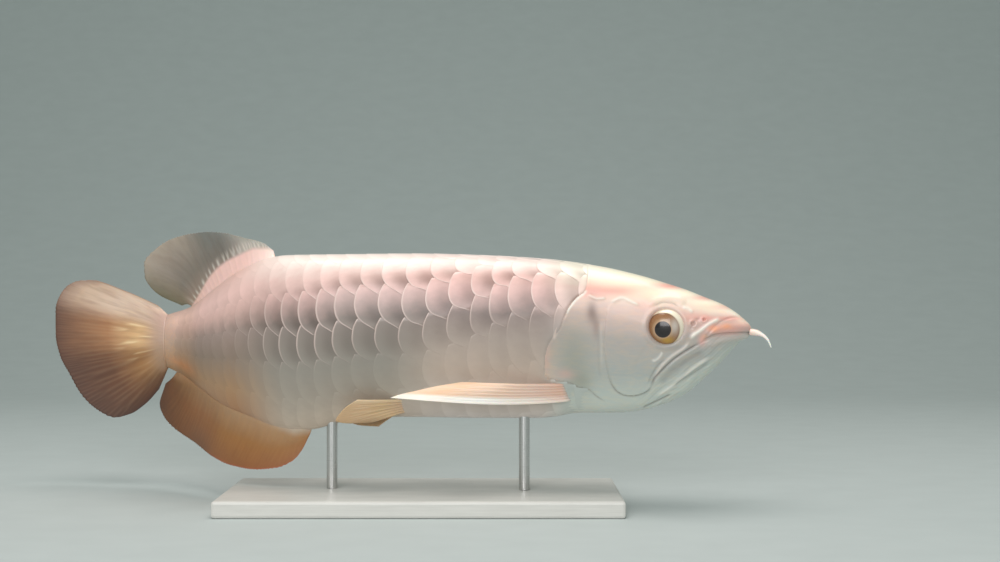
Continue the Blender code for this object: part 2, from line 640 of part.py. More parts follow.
def main():
    for obj in list(bpy.data.objects):
        bpy.data.objects.remove(obj)
    fish = bpy.data.collections.new("asian_arowana")
    tools = bpy.data.collections.new("cutters")
    bpy.context.scene.collection.children.link(fish)
    bpy.context.scene.collection.children.link(tools)

    base, rods = make_stand(fish)
    head = make_head_loft(fish)
    trunk = make_trunk(fish)
    dorsal, anal, caudal = make_median_fins(fish)
    fins = make_paired_fins(fish)
    pectorals = [fin for fin in fins if fin.name.startswith("pectoral")]
    pelvics = [fin for fin in fins if fin.name.startswith("pelvic")]
    covers = [gill_cover("gill_cover_right", -1, fish), gill_cover("gill_cover_left", 1, fish)]
    eye_y = float(flank(EYE_STATION, EYE_HEIGHT)[1]) - EYE_SINK
    eyes = []
    for side, word in ((-1, "right"), (1, "left")):
        eyes.append(ball(f"eye_{word}", (EYE_STATION, side * eye_y, EYE_HEIGHT),
                         (EYE_RADIUS, EYE_BULGE, EYE_RADIUS), fish))
    barbels = [barbel("barbel_right", -1, fish), barbel("barbel_left", 1, fish)]

    # the trunk is cut round the roots of its fins and the rods, then parted
    cutters = []
    for piece in [dorsal, anal] + pelvics + rods:
        cutters.append(grown(f"round_{piece.name}", piece, GAP, tools))
    for cutter in cutters:
        boolean(trunk, cutter, "DIFFERENCE")
    for station in PARTINGS:
        outline = [(station, CUTTER_LOW), (station + GAP, CUTTER_LOW), (station + GAP, CUTTER_HIGH),
                   (station, CUTTER_HIGH)]
        slab = prism(f"parting_{station}", outline, CUTTER_REACH, tools)
        boolean(trunk, slab, "DIFFERENCE")
        cutters.append(slab)
    lengths = split(trunk, ["trunk_front", "trunk_rear", "tail"], fish)

    # the head is cut round the eyes, gill covers, barbels and pectoral fins
    for piece in eyes + covers + barbels + pectorals:
        cutter = grown(f"round_{piece.name}", piece, GAP, tools)
        cutters.append(cutter)
        boolean(head, cutter, "DIFFERENCE")
    for cover in covers:
        for pectoral in pectorals:
            boolean(cover, bpy.data.objects[f"round_{pectoral.name}"], "DIFFERENCE")
        keep_largest(cover)
    for side in (-1, 1):
        for number, (s, z, radius) in enumerate(NOSTRILS):
            y = float(flank(s, z)[1])
            pit = ball(f"nostril_{number}_{side}", (s, side * y, z), (radius, NOSTRIL_DEPTH, radius),
                       tools, 8, 6)
            cutters.append(pit)
            boolean(head, pit, "DIFFERENCE")
    shoulder = bpy.data.objects.new("shoulder", head.data.copy())
    fish.objects.link(shoulder)
    before_snout, past_shoulder, under, over = -40, 180, 60, 200
    outline = GILL_OPENING + [(before_snout, under), (before_snout, over)]
    front = prism("front_of_gills", outline, CUTTER_REACH, tools)
    outline = offset_line(GILL_OPENING, GAP) + [(past_shoulder, under), (past_shoulder, over)]
    behind = prism("behind_gills", outline, CUTTER_REACH, tools)
    boolean(head, front, "INTERSECT")
    boolean(shoulder, behind, "INTERSECT")
    jaw = bpy.data.objects.new("lower_jaw", head.data.copy())
    fish.objects.link(jaw)
    line = MOUTH + JAW_HINGE
    gape = MOUTH[0][1]
    below = prism("below_mouth", line + [(before_snout, under), (before_snout, gape)], CUTTER_REACH, tools)
    outline = offset_line(line, GAP) + [(before_snout, CUTTER_LOW), (before_snout, gape + GAP)]
    above = prism("round_jaw", outline, CUTTER_REACH, tools)
    boolean(jaw, below, "INTERSECT")
    boolean(head, above, "DIFFERENCE")
    cutters += [front, behind, below, above]
    for piece in (head, jaw, shoulder):
        keep_largest(piece)

    for cutter in cutters:
        cutter.hide_render = True
        cutter.display_type = "WIRE"

    flesh = (0.68, 0.55, 0.47)
    for piece in [head, jaw, shoulder] + lengths:
        material(piece, flesh, 0.35)
    for piece in covers:
        material(piece, (0.55, 0.52, 0.45), 0.3)
    for piece in (dorsal, anal, caudal):
        material(piece, (0.42, 0.2, 0.09), 0.45)
    for piece in fins:
        material(piece, (0.75, 0.55, 0.4), 0.4)
    for piece in eyes:
        material(piece, (0.25, 0.14, 0.08), 0.1)
    for piece in barbels:
        material(piece, (0.8, 0.7, 0.62), 0.4)
    material(base, (0.62, 0.61, 0.58), 0.5)
    for rod in rods:
        material(rod, (0.6, 0.6, 0.6), 0.3, 1.0)


main()
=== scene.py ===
import math

import bpy
import numpy as np
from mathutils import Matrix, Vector


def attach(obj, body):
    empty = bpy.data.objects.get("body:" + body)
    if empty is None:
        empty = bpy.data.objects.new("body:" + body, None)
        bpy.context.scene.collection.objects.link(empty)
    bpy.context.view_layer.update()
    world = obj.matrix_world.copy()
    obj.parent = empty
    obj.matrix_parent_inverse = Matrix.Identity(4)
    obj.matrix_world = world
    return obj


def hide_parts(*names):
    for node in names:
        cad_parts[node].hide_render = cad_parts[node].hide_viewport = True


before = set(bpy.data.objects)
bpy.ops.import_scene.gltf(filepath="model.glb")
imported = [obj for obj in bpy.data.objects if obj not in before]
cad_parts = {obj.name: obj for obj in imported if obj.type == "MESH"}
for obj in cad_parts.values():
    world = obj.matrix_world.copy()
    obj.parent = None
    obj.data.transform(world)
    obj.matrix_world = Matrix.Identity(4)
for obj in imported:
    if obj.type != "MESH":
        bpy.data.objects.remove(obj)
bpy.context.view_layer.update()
mm = 0.001
draw = np.random.default_rng(7)

# The fish in its own millimetres: station back from the snout, y to its left, z up from the floor
body = {
    "turn": [(-40, 10), (100, 8), (220, 2), (320, 8), (395, 38), (432, 47), (472, 26), (515, 9), (610, 3)],
    "originStation": 235,
    "top": [
        (-5.5, 131), (-2.4, 135.8), (2, 140), (7, 144), (16, 149.3), (30, 155), (42, 159.8), (58, 165),
        (73, 169.6), (101, 176.4), (125, 180.3), (148, 182.8), (193, 185.5), (240, 186.6), (290, 186.2),
        (335, 185.7), (352, 183.8), (368, 178.3), (383, 171.8), (400, 163.6), (425, 152), (443, 145.6),
        (470, 139.5)],
    "bottom": [
        (-5.5, 130), (-2.4, 126), (2, 123.2), (7, 118), (16, 108), (30, 94.3), (42, 84.2), (58, 76.4),
        (73, 72), (90, 69.7), (123, 68.8), (136, 66.2), (150, 64.9), (193, 64.6), (250, 65.2), (280, 64),
        (296, 61), (306, 58), (318, 55.2), (332, 54.4), (346, 56), (358, 59.4), (371, 63.4), (395, 69.8),
        (425, 80.8), (445, 88.3), (470, 96.5)],
    "halfWidth": [
        (-5.5, 1.2), (-2.4, 5), (2, 8), (9, 11), (18, 14), (30, 17.3), (45, 20.4), (60, 22.7), (78, 24.8),
        (100, 27), (125, 28.5), (150, 28.2), (185, 27.6), (240, 27), (290, 25), (330, 21.6), (360, 17.6),
        (390, 14), (420, 10.6), (445, 8), (470, 5.6)],
    "widest": [(-5, 0.55), (40, 0.62), (90, 0.6), (150, 0.6), (300, 0.62), (400, 0.56), (470, 0.5)],
    "crown": [(-5, 2.2), (40, 2.7), (120, 2.6), (200, 2.35), (350, 2.2), (470, 2.1)],
    "keel": [(-5, 2.0), (60, 1.95), (140, 1.75), (300, 1.7), (400, 1.85), (470, 2.1)],
    "snout": -5.4, "headEnd": 150, "end": 470,
}


# Shape helpers
def keyed(keys, at):
    # eased values between pairs of place and value, with no overshoot
    x, y = np.array(keys, float).T
    slope = np.diff(y) / np.diff(x)
    tangent = np.concatenate([slope[:1], np.zeros(len(x) - 2), slope[-1:]])
    before, after = slope[:-1], slope[1:]
    same = before * after > 0
    tangent[1:-1][same] = 2 * before[same] * after[same] / (before[same] + after[same])
    at = np.clip(at, x[0], x[-1])
    i = np.clip(np.searchsorted(x, at, side="right") - 1, 0, len(x) - 2)
    h = x[i + 1] - x[i]
    t = (at - x[i]) / h
    rise = (3 - 2 * t) * t * t
    return (y[i] * (1 - rise) + y[i + 1] * rise
            + h * t * (1 - t) * (tangent[i] * (1 - t) - tangent[i + 1] * t))


def keyedPoints(keys, at):
    # each value after the first of the rows in keys, eased between rows by the first
    keys = np.array(keys, float)
    return np.stack([keyed(keys[:, [0, n]], at) for n in range(1, keys.shape[1])], axis=-1)


def straight(keys, at):
    return np.interp(at, *np.array(keys, float).T)


def smooth(low, high, x):
    t = np.clip((np.asarray(x, float) - low) / (high - low), 0, 1)
    return t * t * (3 - 2 * t)


lineS = np.arange(-60.0, 640.0, 1.0)
lineTurn = np.radians(keyed(body["turn"], lineS))
lineX = -np.cumsum(np.cos(lineTurn))
lineY = np.cumsum(np.sin(lineTurn))
lineX -= np.interp(body["originStation"], lineS, lineX)
lineY -= np.interp(body["originStation"], lineS, lineY)


def bend(points):
    # body millimetres to world metres, along the curved middle line
    points = np.asarray(points, float)
    s, y, z = points[..., 0], points[..., 1], points[..., 2]
    turn = np.radians(keyed(body["turn"], s))
    x = np.interp(s, lineS, lineX) + y * np.sin(turn)
    across = np.interp(s, lineS, lineY) + y * np.cos(turn)
    return np.stack([x, across, z], axis=-1) * mm


def sectionTable():
    # the body's section at close stations, with its outward direction, looked up by skinAt
    stations = np.arange(-5.5, 470.5, 0.5)
    shares = np.linspace(0, 1, 301)
    angle = np.linspace(0, math.pi, 361)
    cosine, sine = np.cos(angle), np.clip(np.sin(angle), 0, 1)
    tableY, tableZ = np.zeros((len(stations), len(shares))), np.zeros((len(stations), len(shares)))
    for i, s in enumerate(stations):
        top, bottom, width = (float(keyed(body[k], s)) for k in ("top", "bottom", "halfWidth"))
        level = bottom + (top - bottom) * float(keyed(body["widest"], s))
        power = 2 / np.where(cosine > 0, keyed(body["crown"], s), keyed(body["keel"], s))
        z = level + np.where(cosine > 0, top - level, bottom - level) * np.abs(cosine) ** power
        y = width * sine ** power
        run = np.concatenate([[0], np.cumsum(np.hypot(np.diff(y), np.diff(z)))])
        tableY[i] = np.interp(shares, run / run[-1], y)
        tableZ[i] = np.interp(shares, run / run[-1], z)
    slopeY, slopeZ = np.gradient(tableY, stations, axis=0), np.gradient(tableZ, stations, axis=0)
    aroundY, aroundZ = np.gradient(tableY, shares, axis=1), np.gradient(tableZ, shares, axis=1)
    out = np.stack([slopeY * aroundZ - slopeZ * aroundY, -aroundZ, aroundY], axis=-1)
    out[:, 0, 1] = out[:, -1, 1] = 0
    out[:, 0, 0], out[:, -1, 0] = -slopeZ[:, 0] * aroundY[:, 0], -slopeZ[:, -1] * aroundY[:, -1]
    out /= np.linalg.norm(out, axis=-1, keepdims=True)
    return stations, shares, np.concatenate([tableY[..., None], tableZ[..., None], out], axis=-1)


tableS, tableV, table = sectionTable()


def skinAt(s, v, lift=0.0, side=1):
    # point of the body at station s and share v of the way from back to belly, lifted out
    s, v = np.broadcast_arrays(np.asarray(s, float), np.asarray(v, float))
    i = np.clip((s - tableS[0]) / (tableS[1] - tableS[0]), 0, len(tableS) - 1.001)
    j = np.clip(v / tableV[1], 0, len(tableV) - 1.001)
    a, b = i.astype(int), j.astype(int)
    fa, fb = (i - a)[..., None], (j - b)[..., None]
    row = (table[a, b] * (1 - fa) * (1 - fb) + table[a + 1, b] * fa * (1 - fb)
           + table[a, b + 1] * (1 - fa) * fb + table[a + 1, b + 1] * fa * fb)
    lift = np.broadcast_to(lift, s.shape)
    return np.stack([s + row[..., 2] * lift, side * (row[..., 0] + row[..., 3] * lift),
                     row[..., 1] + row[..., 4] * lift], axis=-1)


def shareAt(s, z):
    # share of the way round at height z on the section at s
    i = int(round((s - tableS[0]) / (tableS[1] - tableS[0])))
    return float(np.interp(-z, -table[i, :, 1], tableV))


def smoothLine(points, step=1.0):
    points = np.array(points, float)
    run = np.concatenate([[0], np.cumsum(np.linalg.norm(np.diff(points, axis=0), axis=1))])
    at = np.linspace(0, run[-1], max(4, int(run[-1] / step)))
    return keyedPoints(np.column_stack([run, points]), at)


def toLine(s, z, points):
    # side-view distance to a smooth line, which side of it, and the share of the way along
    line = smoothLine(points)
    best = np.full(s.shape, 1e9)
    sign, along = np.zeros(s.shape), np.zeros(s.shape)
    for k in range(len(line) - 1):
        a, step = line[k], line[k + 1] - line[k]
        t = np.clip(((s - a[0]) * step[0] + (z - a[1]) * step[1]) / (step @ step), 0, 1)
        ds, dz = s - a[0] - step[0] * t, z - a[1] - step[1] * t
        d = np.hypot(ds, dz)
        near = d < best
        best = np.where(near, d, best)
        sign = np.where(near, np.sign(step[0] * dz - step[1] * ds), sign)
        along = np.where(near, (k + t) / (len(line) - 1), along)
    return best, sign, along


def blob(s, z, spots):
    total = np.zeros(np.shape(s))
    for s0, z0, rs, rz, strength in spots:
        total += strength * np.exp(-((s - s0) / rs) ** 2 - ((z - z0) / rz) ** 2)
    return np.clip(total, 0, 1)


def addObject(name, data):
    obj = bpy.data.objects.new(name, data)
    bpy.context.scene.collection.objects.link(obj)
    return obj


def makePiece(name, verts, faces, masks, finish, nodes=(), corners=None):
    # masks: a value for each point; corners: a place on the bake's map for each corner of each face
    verts = np.asarray(verts).reshape(-1, 3)
    mesh = bpy.data.meshes.new(name)
    mesh.from_pydata(verts.tolist(), [], faces.tolist() if isinstance(faces, np.ndarray) else faces)
    for key, values in masks.items():
        layer = mesh.attributes.new(key, "FLOAT", "POINT")
        layer.data.foreach_set("value", np.ascontiguousarray(values, np.float32).ravel())
    if corners is not None:
        layer = mesh.uv_layers.new(name="OFBake")
        layer.data.foreach_set("uv", np.ascontiguousarray(corners, np.float32).ravel())
    # a closed surface whose volume counts as negative is turned inside out
    mesh.calc_loop_triangles()
    threes = np.zeros(3 * len(mesh.loop_triangles), np.int32)
    mesh.loop_triangles.foreach_get("vertices", threes)
    a, b, c = verts[threes].reshape(-1, 3, 3).transpose(1, 0, 2)
    if (a * np.cross(b, c)).sum() < 0:
        mesh.flip_normals()
    mesh.shade_smooth()
    mesh.materials.append(finish)
    obj = addObject(name, mesh)
    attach(obj, "root")
    if nodes:
        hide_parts(*nodes)
    return obj


def gridFaces(rows, cols, start=0, flip=False, wrap=False):
    # four-cornered faces of a grid of points; wrap joins its last column to the first
    i, j = np.meshgrid(np.arange(rows - 1), np.arange(cols if wrap else cols - 1), indexing="ij")
    k = (j + 1) % cols
    quad = np.stack([i * cols + j, i * cols + k, (i + 1) * cols + k, (i + 1) * cols + j], axis=-1)
    quad = quad.reshape(-1, 4) + start
    return quad[:, ::-1] if flip else quad


def rimOf(rows, cols):
    # the points round the edge of a grid, in order
    down = [i * cols for i in range(rows)]
    right = [(rows - 1) * cols + j for j in range(1, cols)]
    up = [i * cols + cols - 1 for i in range(rows - 2, -1, -1)]
    return np.array(down + right + up + list(range(cols - 2, 0, -1)))


def closedSheet(front, back):
    # verts and faces of a closed sheet from two grids of the same size
    rows, cols = front.shape[:2]
    count = rows * cols
    rim = rimOf(rows, cols)
    after = np.roll(rim, -1)
    edge = np.stack([after, rim, rim + count, after + count], axis=1)
    verts = np.concatenate([front.reshape(-1, 3), back.reshape(-1, 3)])
    return verts, np.concatenate([gridFaces(rows, cols, flip=True), gridFaces(rows, cols, count), edge])


# Material helpers
def toLinear(hexColour):
    parts = [int(hexColour[i:i + 2], 16) / 255 for i in (1, 3, 5)]
    return (*[c / 12.92 if c <= 0.04045 else ((c + 0.055) / 1.055) ** 2.4 for c in parts], 1)


def addNode(tree, kind, values, out=0):
    # values: settings by name and inputs by name or number, linked where the value is a socket
    # out: the name or number of the output that it gives back
    node = tree.nodes.new("ShaderNode" + kind)
    for key, value in values.items():
        if key == "stops":
            for _ in range(len(value) - 2):
                node.color_ramp.elements.new(0.5)
            for element, (place, colour) in zip(node.color_ramp.elements, value):
                element.position, element.color = place, toLinear(colour)
        elif isinstance(key, str) and key not in node.inputs:
            setattr(node, key, value)
        elif isinstance(value, bpy.types.NodeSocket):
            tree.links.new(value, node.inputs[key])
        else:
            node.inputs[key].default_value = toLinear(value) if isinstance(value, str) else value
    return node.outputs[out]


def newFinish(name, values):
    finish = bpy.data.materials.new(name)
    finish.use_nodes = True
    tree = finish.node_tree
    shader = tree.nodes["Principled BSDF"]
    for key, value in values.items():
        shader.inputs[key].default_value = value
    return finish, tree, shader


def addRelief(tree, shader, grain, strength, depth):
    # fine relief by way of the surface's direction, from a noise with the values in grain
    noise = addNode(tree, "TexNoise", grain)
    bump = addNode(tree, "Bump", {"Strength": strength, "Distance": depth, "Height": noise})
    tree.links.new(bump, shader.inputs["Normal"])
    return noise


# a mix of two colours takes its share from input 0 and the colours from 6 and 7, and gives output 2
mixed = {"data_type": "RGBA", "clamp_factor": True}
softLight = {**mixed, "blend_type": "SOFT_LIGHT"}
darkened = {**mixed, "blend_type": "MULTIPLY"}
eased = {"interpolation_type": "SMOOTHSTEP"}


def bandColour(tree, factor, place, bands):
    # bands: the values of place between which each takes over, and its colours by factor
    colour = addNode(tree, "ValToRGB", {"Fac": factor, "stops": bands[0][2]})
    for low, high, stops in bands[1:]:
        taken = addNode(tree, "MapRange", {**eased, "Value": place, "From Min": low, "From Max": high})
        band = addNode(tree, "ValToRGB", {"Fac": factor, "stops": stops})
        colour = addNode(tree, "Mix", {**mixed, 0: taken, 6: colour, 7: band}, 2)
    return colour


# where each length of the body takes over, in stations over 500, and its colours from back to belly
markings = [
    # the grey-green of the lower cheek and jaw is partly a painted tint of the greenish light in water, over
    # pearly skin
    (0, 0, [(0.0, "#efe9d6"), (0.17, "#f2e7d5"), (0.25, "#efd0c3"), (0.34, "#d4b7ad"), (0.5, "#aaa39e"),
            (0.7, "#a5aaa6"), (0.86, "#b9c2bb"), (1.0, "#ccd3cc")]),
    (0.245, 0.30, [(0.0, "#fdeee6"), (0.12, "#f9dcd2"), (0.2, "#f0c4bb"), (0.28, "#d6aba3"), (0.4, "#907e78"),
                   (0.52, "#ab9b91"), (0.68, "#c2afa0"), (0.84, "#d2c4b8"), (1.0, "#e2d9d4")]),
    (0.42, 0.53, [(0.0, "#fff3e9"), (0.12, "#fbe3d9"), (0.2, "#eec8bf"), (0.28, "#d2aca5"), (0.42, "#8d7f78"),
                  (0.66, "#948e84"), (0.84, "#a89d8f"), (1.0, "#c8b8a6")]),
    # toward the tail the lower flank is painted orange-brown: painted shade where it faces down, and a
    # painted reflection of the orange fins
    (0.66, 0.76, [(0.0, "#e0b8ac"), (0.2, "#fcd0c7"), (0.32, "#e3bab0"), (0.44, "#a99289"), (0.6, "#937f70"),
                  (0.8, "#ad8660"), (1.0, "#b07b50")]),
    (0.82, 0.88, [(0.0, "#d6b1a3"), (0.18, "#f4c9ba"), (0.32, "#d8b2a4"), (0.5, "#b79c8b"), (0.66, "#b28d6f"),
                  (0.77, "#c8895a"), (0.88, "#a87b53"), (1.0, "#a0724c")]),
    (0.89, 0.95, [(0.0, "#bd9e90"), (0.2, "#cdab9c"), (0.5, "#c4a491"), (0.74, "#ae8f76"), (1.0, "#97765a")]),
]


def bodyColour(tree):
    # markings of the skin and of the scales over it, whose borders wander a little
    around, station = (addNode(tree, "Attribute", {"attribute_name": key}, "Fac")
                       for key in ("around", "station"))
    wander = addNode(tree, "TexNoise", {"Scale": 1 / (45.45 * mm), "Detail": 3})  # bends 45 mm long
    moved = addNode(tree, "Math", {"operation": "MULTIPLY_ADD", 0: wander, 1: 0.07, 2: -0.035})
    place = addNode(tree, "Math", {"operation": "ADD", 0: around, 1: moved})
    return bandColour(tree, place, station, markings)


def makeSkinFinish():
    # living fish skin, wet with mucus over silvery guanine: soft wide highlights, a faint glow at thin parts
    finish, tree, shader = newFinish("wetFishSkin", {
        "Roughness": 0.4, "Coat Weight": 0.3, "Coat Roughness": 0.14, "Subsurface Weight": 0.15,
        "Subsurface Radius": (1.0, 0.45, 0.3), "Subsurface Scale": 3 * mm})
    # pale clouds about 17 mm across, as a scale's length
    cloud = addNode(tree, "TexNoise", {"Scale": 1 / (16.667 * mm), "Detail": 4, "Roughness": 0.6})
    cloud = addNode(tree, "MapRange", {**eased, "Value": cloud, "From Min": 0.35, "From Max": 0.75})
    colour = addNode(tree, "Mix", {**softLight, 0: cloud, 6: bodyColour(tree), 7: "#cfc2b4"}, 2)
    for key, tone in (("green", "#8f9080"), ("cream", "#f0e9cf"), ("pink", "#eaa699"), ("lip", "#f0a579"),
                      ("brown", "#826b63"), ("gleam", "#f1eade"), ("shade", "#6d625b")):
        mask = addNode(tree, "Attribute", {"attribute_name": key}, "Fac")
        colour = addNode(tree, "Mix", {**mixed, 0: mask, 6: colour, 7: tone}, 2)
    tree.links.new(colour, shader.inputs["Base Color"])
    # pores about 2 mm apart
    addRelief(tree, shader, {"Scale": 1 / (2.2 * mm), "Detail": 3, "Roughness": 0.55}, 0.14, 0.5 * mm)
    return finish


def makeScaleFinish():
    # bony scale under a film of skin: pearly from guanine, darker in its middle, with a pale rim that is
    # partly its own colour and partly a painted highlight of the light from above on its raised edge
    finish, tree, shader = newFinish("pearlyFishScale", {
        "Metallic": 0.08, "Roughness": 0.42, "Coat Weight": 0.3, "Coat Roughness": 0.18})
    colour = bodyColour(tree)
    cell, tint, rim = (addNode(tree, "Attribute", {"attribute_name": key}, "Fac")
                       for key in ("cell", "tint", "rim"))
    middle = addNode(tree, "Mix", {**darkened, 0: 0.72, 6: colour, 7: "#887a70"}, 2)
    colour = addNode(tree, "Mix", {**mixed, 0: cell, 6: colour, 7: middle}, 2)
    colour = addNode(tree, "Mix", {**mixed, 0: tint, 6: colour, 7: "#8a8177"}, 2)  # no two scales quite alike
    # the pale rim: partly the scale's own pale edge, partly painted highlight where its raised edge catches
    # light from above
    edge = addNode(tree, "Mix", {**mixed, 0: 0.72, 6: colour, 7: "#e0c8bf"}, 2)
    colour = addNode(tree, "Mix", {**mixed, 0: rim, 6: colour, 7: edge}, 2)
    tree.links.new(colour, shader.inputs["Base Color"])
    # growth lines really 0.1 mm apart, drawn at 0.9 mm so that they show
    addRelief(tree, shader, {"Scale": 1 / (0.9 * mm), "Detail": 2}, 0.08, 0.4 * mm)
    return finish


def makeFinFinish(name, bands, rayColour, streaks, grain):
    # soft-rayed fin membrane: thin damp skin over horny rays, with a faint glow from light inside it
    # bands: shares across the rays between which each takes over, and its colours from the root out
    # streaks: how many run side by side across the fin; grain: how much they darken it
    finish, tree, shader = newFinish(name, {
        "Roughness": 0.42, "Coat Weight": 0.2, "Coat Roughness": 0.25, "Subsurface Weight": 0.2,
        "Subsurface Radius": (1.0, 0.5, 0.25), "Subsurface Scale": 3 * mm})
    out, across, ray, sheath = (addNode(tree, "Attribute", {"attribute_name": key}, "Fac")
                                for key in ("out", "across", "ray", "sheath"))
    place = addNode(tree, "CombineXYZ", {"X": across, "Y": out})
    stretched = addNode(tree, "Mapping", {"Vector": place, "Scale": (streaks, 2.2, 1)})
    streak = addNode(tree, "TexNoise", {"Vector": stretched, "Scale": 1.0, "Detail": 3, "Roughness": 0.6})
    streak = addNode(tree, "MapRange", {**eased, "Value": streak, "From Min": 0.38, "From Max": 0.7})
    colour = bandColour(tree, out, across, bands)
    streaked = addNode(tree, "Mix", {**darkened, 0: grain, 6: colour, 7: "#8a6a55"}, 2)
    for share, over in ((streak, streaked), (ray, rayColour), (sheath, bodyColour(tree))):
        colour = addNode(tree, "Mix", {**mixed, 0: share, 6: colour, 7: over}, 2)
    tree.links.new(colour, shader.inputs["Base Color"])
    return finish


print("form and material helpers ready")

# Head and body skin
face = {
    "grooves": [  # line of station and height, width, depth, shade
        ([(-6, 128.4), (2, 128.7), (9.4, 128.6), (16.5, 128.2), (23.1, 126.6), (30.9, 121.7)],
         0.8, 1.2, 0.22),
        ([(30.9, 121.9), (39.4, 117.2), (49.6, 110.2), (58.2, 102.2), (64.3, 95.2), (66.4, 88.5)],
         0.9, 1.2, 0.75),
        ([(27, 116), (37, 111), (47, 104.5), (55, 97.5), (61, 90.5)], 3.4, 0.8, 0.32),
        ([(24.6, 107.6), (34.5, 100.4), (43, 95.2), (50, 90)], 1.5, 0.8, 0.3),
        ([(51.7, 84.7), (56.7, 82), (65.6, 77.4), (73.6, 73.5)], 0.9, 0.7, 0.6),
        ([(103.3, 139), (103.6, 120), (103.5, 104.5), (102.4, 96)], 1.3, 0.2, 0.1),
        ([(68.5, 92), (65, 100), (60.5, 106.5), (56, 110)], 0.7, 0.4, 0.35),
        ([(29, 123), (25, 129.4), (19.6, 134.9), (13.6, 138.6), (8, 140), (2, 139.6)], 0.8, 0.5, 0.1),
        ([(46, 147.5), (52, 150.2), (58, 150.5), (64, 148)], 0.5, 0.5, 0.3),
        ([(31.5, 139.2), (34.5, 137.9), (37, 134.6), (38, 131.4)], 1.0, 0.6, 0.15),
    ],
    "ridges": [  # line, width, rise, gleam, pink
        ([(-5.6, 132), (0, 133.4), (8, 133.6), (16, 132.4), (23, 129.8), (28.6, 125.8)], 2.6, 0.8, 0.0, 0.0),
        ([(-6, 125.8), (2, 125.4), (10, 124.6), (20, 122.6), (28, 117.6)], 2.2, 0.7, 0.1, 0.05),
        ([(17, 139.4), (20.4, 138), (25.6, 135.2), (30.9, 131), (36, 127.4), (39, 124)], 1.2, 0.7, 0.9, 0.0),
        ([(38, 124), (42.5, 118.4), (52.6, 111.4), (60.4, 102.8), (65.2, 93.6)], 0.9, 0.5, 0.4, 0.1),
        ([(23.1, 112.6), (29.9, 108.1), (37.7, 102.5), (45.4, 96.2), (55.1, 88.1), (64, 81.6)],
         1.2, 0.5, 0.5, 0),
        ([(40.5, 149.5), (47, 152.6), (55, 153.4), (64, 151), (69, 147)], 2.6, 0.9, 0.1, 0.2),
        ([(36.5, 143.5), (40, 146.4), (44, 147.6)], 1.1, 0.5, 0.7, 0.0),
        ([(95.4, 150.3), (91.1, 152.9), (86.9, 154.2), (81.2, 151.8), (74, 148.6)], 1.1, 0.5, 0.7, 0.0),
        ([(112, 156.4), (104, 153.4), (98, 154)], 1.0, 0.5, 0.5, 0.0),
        ([(101.3, 138), (101.5, 120), (101.2, 104)], 1.3, 0.2, 0.1, 0),
        ([(57.8, 115.7), (60.2, 111.7), (64.4, 109), (66, 110)], 0.8, 0.4, 0.5, 0),
        ([(126, 142), (131.6, 137), (135, 130), (136.4, 123)], 1.2, 0.3, 0.25, 0.2),
    ],
    # plates whose rear edge stands over what follows: edge from above down, step above and below, fade
    # forward, heights between which the edge gets a painted highlight, if any, painted shade behind the edge
    # above and below
    "plates": [
        ([(94, 152.5), (97.8, 144), (99, 134.6), (99.7, 120.3), (98.4, 108.1), (96.4, 98.1), (94.7, 92.8),
          (90.5, 86.6), (85.4, 84), (80.2, 83.4), (72.3, 85.3), (65.1, 90.6)],
         (0.4, 0.7), 16, None, (0.03, 0.5)),
        ([(112, 176), (112.2, 166), (113.6, 159.4), (119.9, 153.8), (125.8, 146.7), (129, 139.3),
          (132.5, 130.5), (140, 120.2), (143, 109.3), (143.2, 98.5), (137.5, 95), (124.4, 92.8),
          (119.8, 90.4), (111.1, 88.2), (105.5, 83), (98, 78)], (1.1, 0.25), 15, (144, 159), (0.05, 0.45)),
    ],
    "nostrils": [(36.4, 135.6, 1.5), (28.6, 138.6, 1.1)],
    "eye": {"s": 55.8, "z": 133.4, "radius": 13.4, "rim": 14.4},
    # the rest are spots of colour: station, height, half length, half height, strength
    "lip": [(21.7, 132, 3.6, 2.4, 0.8), (13.2, 133.6, 4.2, 2.2, 0.75), (28.6, 126.4, 3, 2.4, 0.4)],
    "pink": [
        (12, 139.4, 11, 1.6, 0.75), (25, 133.5, 6, 2.4, 0.5), (30.2, 123.4, 2.6, 3.6, 0.6),
        (16, 131, 13, 4, 0.55), (14, 147.4, 14, 2.2, 0.5), (4, 134, 9, 5, 0.35),
        (108, 158, 18, 4.5, 0.75), (86, 159, 14, 4, 0.5), (36, 140.5, 9, 4, 0.55),
        (27, 139.6, 4, 2.4, 0.6), (124, 163.5, 18, 5, 0.55), (70, 149, 8, 5, 0.35), (128, 99, 7, 4, 0.3),
        (52, 162.5, 16, 2.6, 0.9), (26, 154, 13, 2, 0.8), (143, 113, 3.5, 14, 0.2)],
    "cream": [(60, 160, 40, 8, 0.8), (84, 167, 40, 8, 0.6), (24, 148, 14, 5, 0.8), (2, 137.5, 5, 3, 0.5),
              (62, 152, 6, 4, 0.5)],
    "green": [(122, 112, 12, 26, 0.5), (116, 94, 8, 7, 0.4)],
    "brown": [(108.5, 144, 3.6, 7.5, 0.8), (105.5, 134, 2.6, 8, 0.45)],
    # painted shade: spots behind the gill cover's edge and under the eye
    "dark": [(136, 137, 4, 8, 0.25), (52, 119, 9, 3, 0.12)],
}


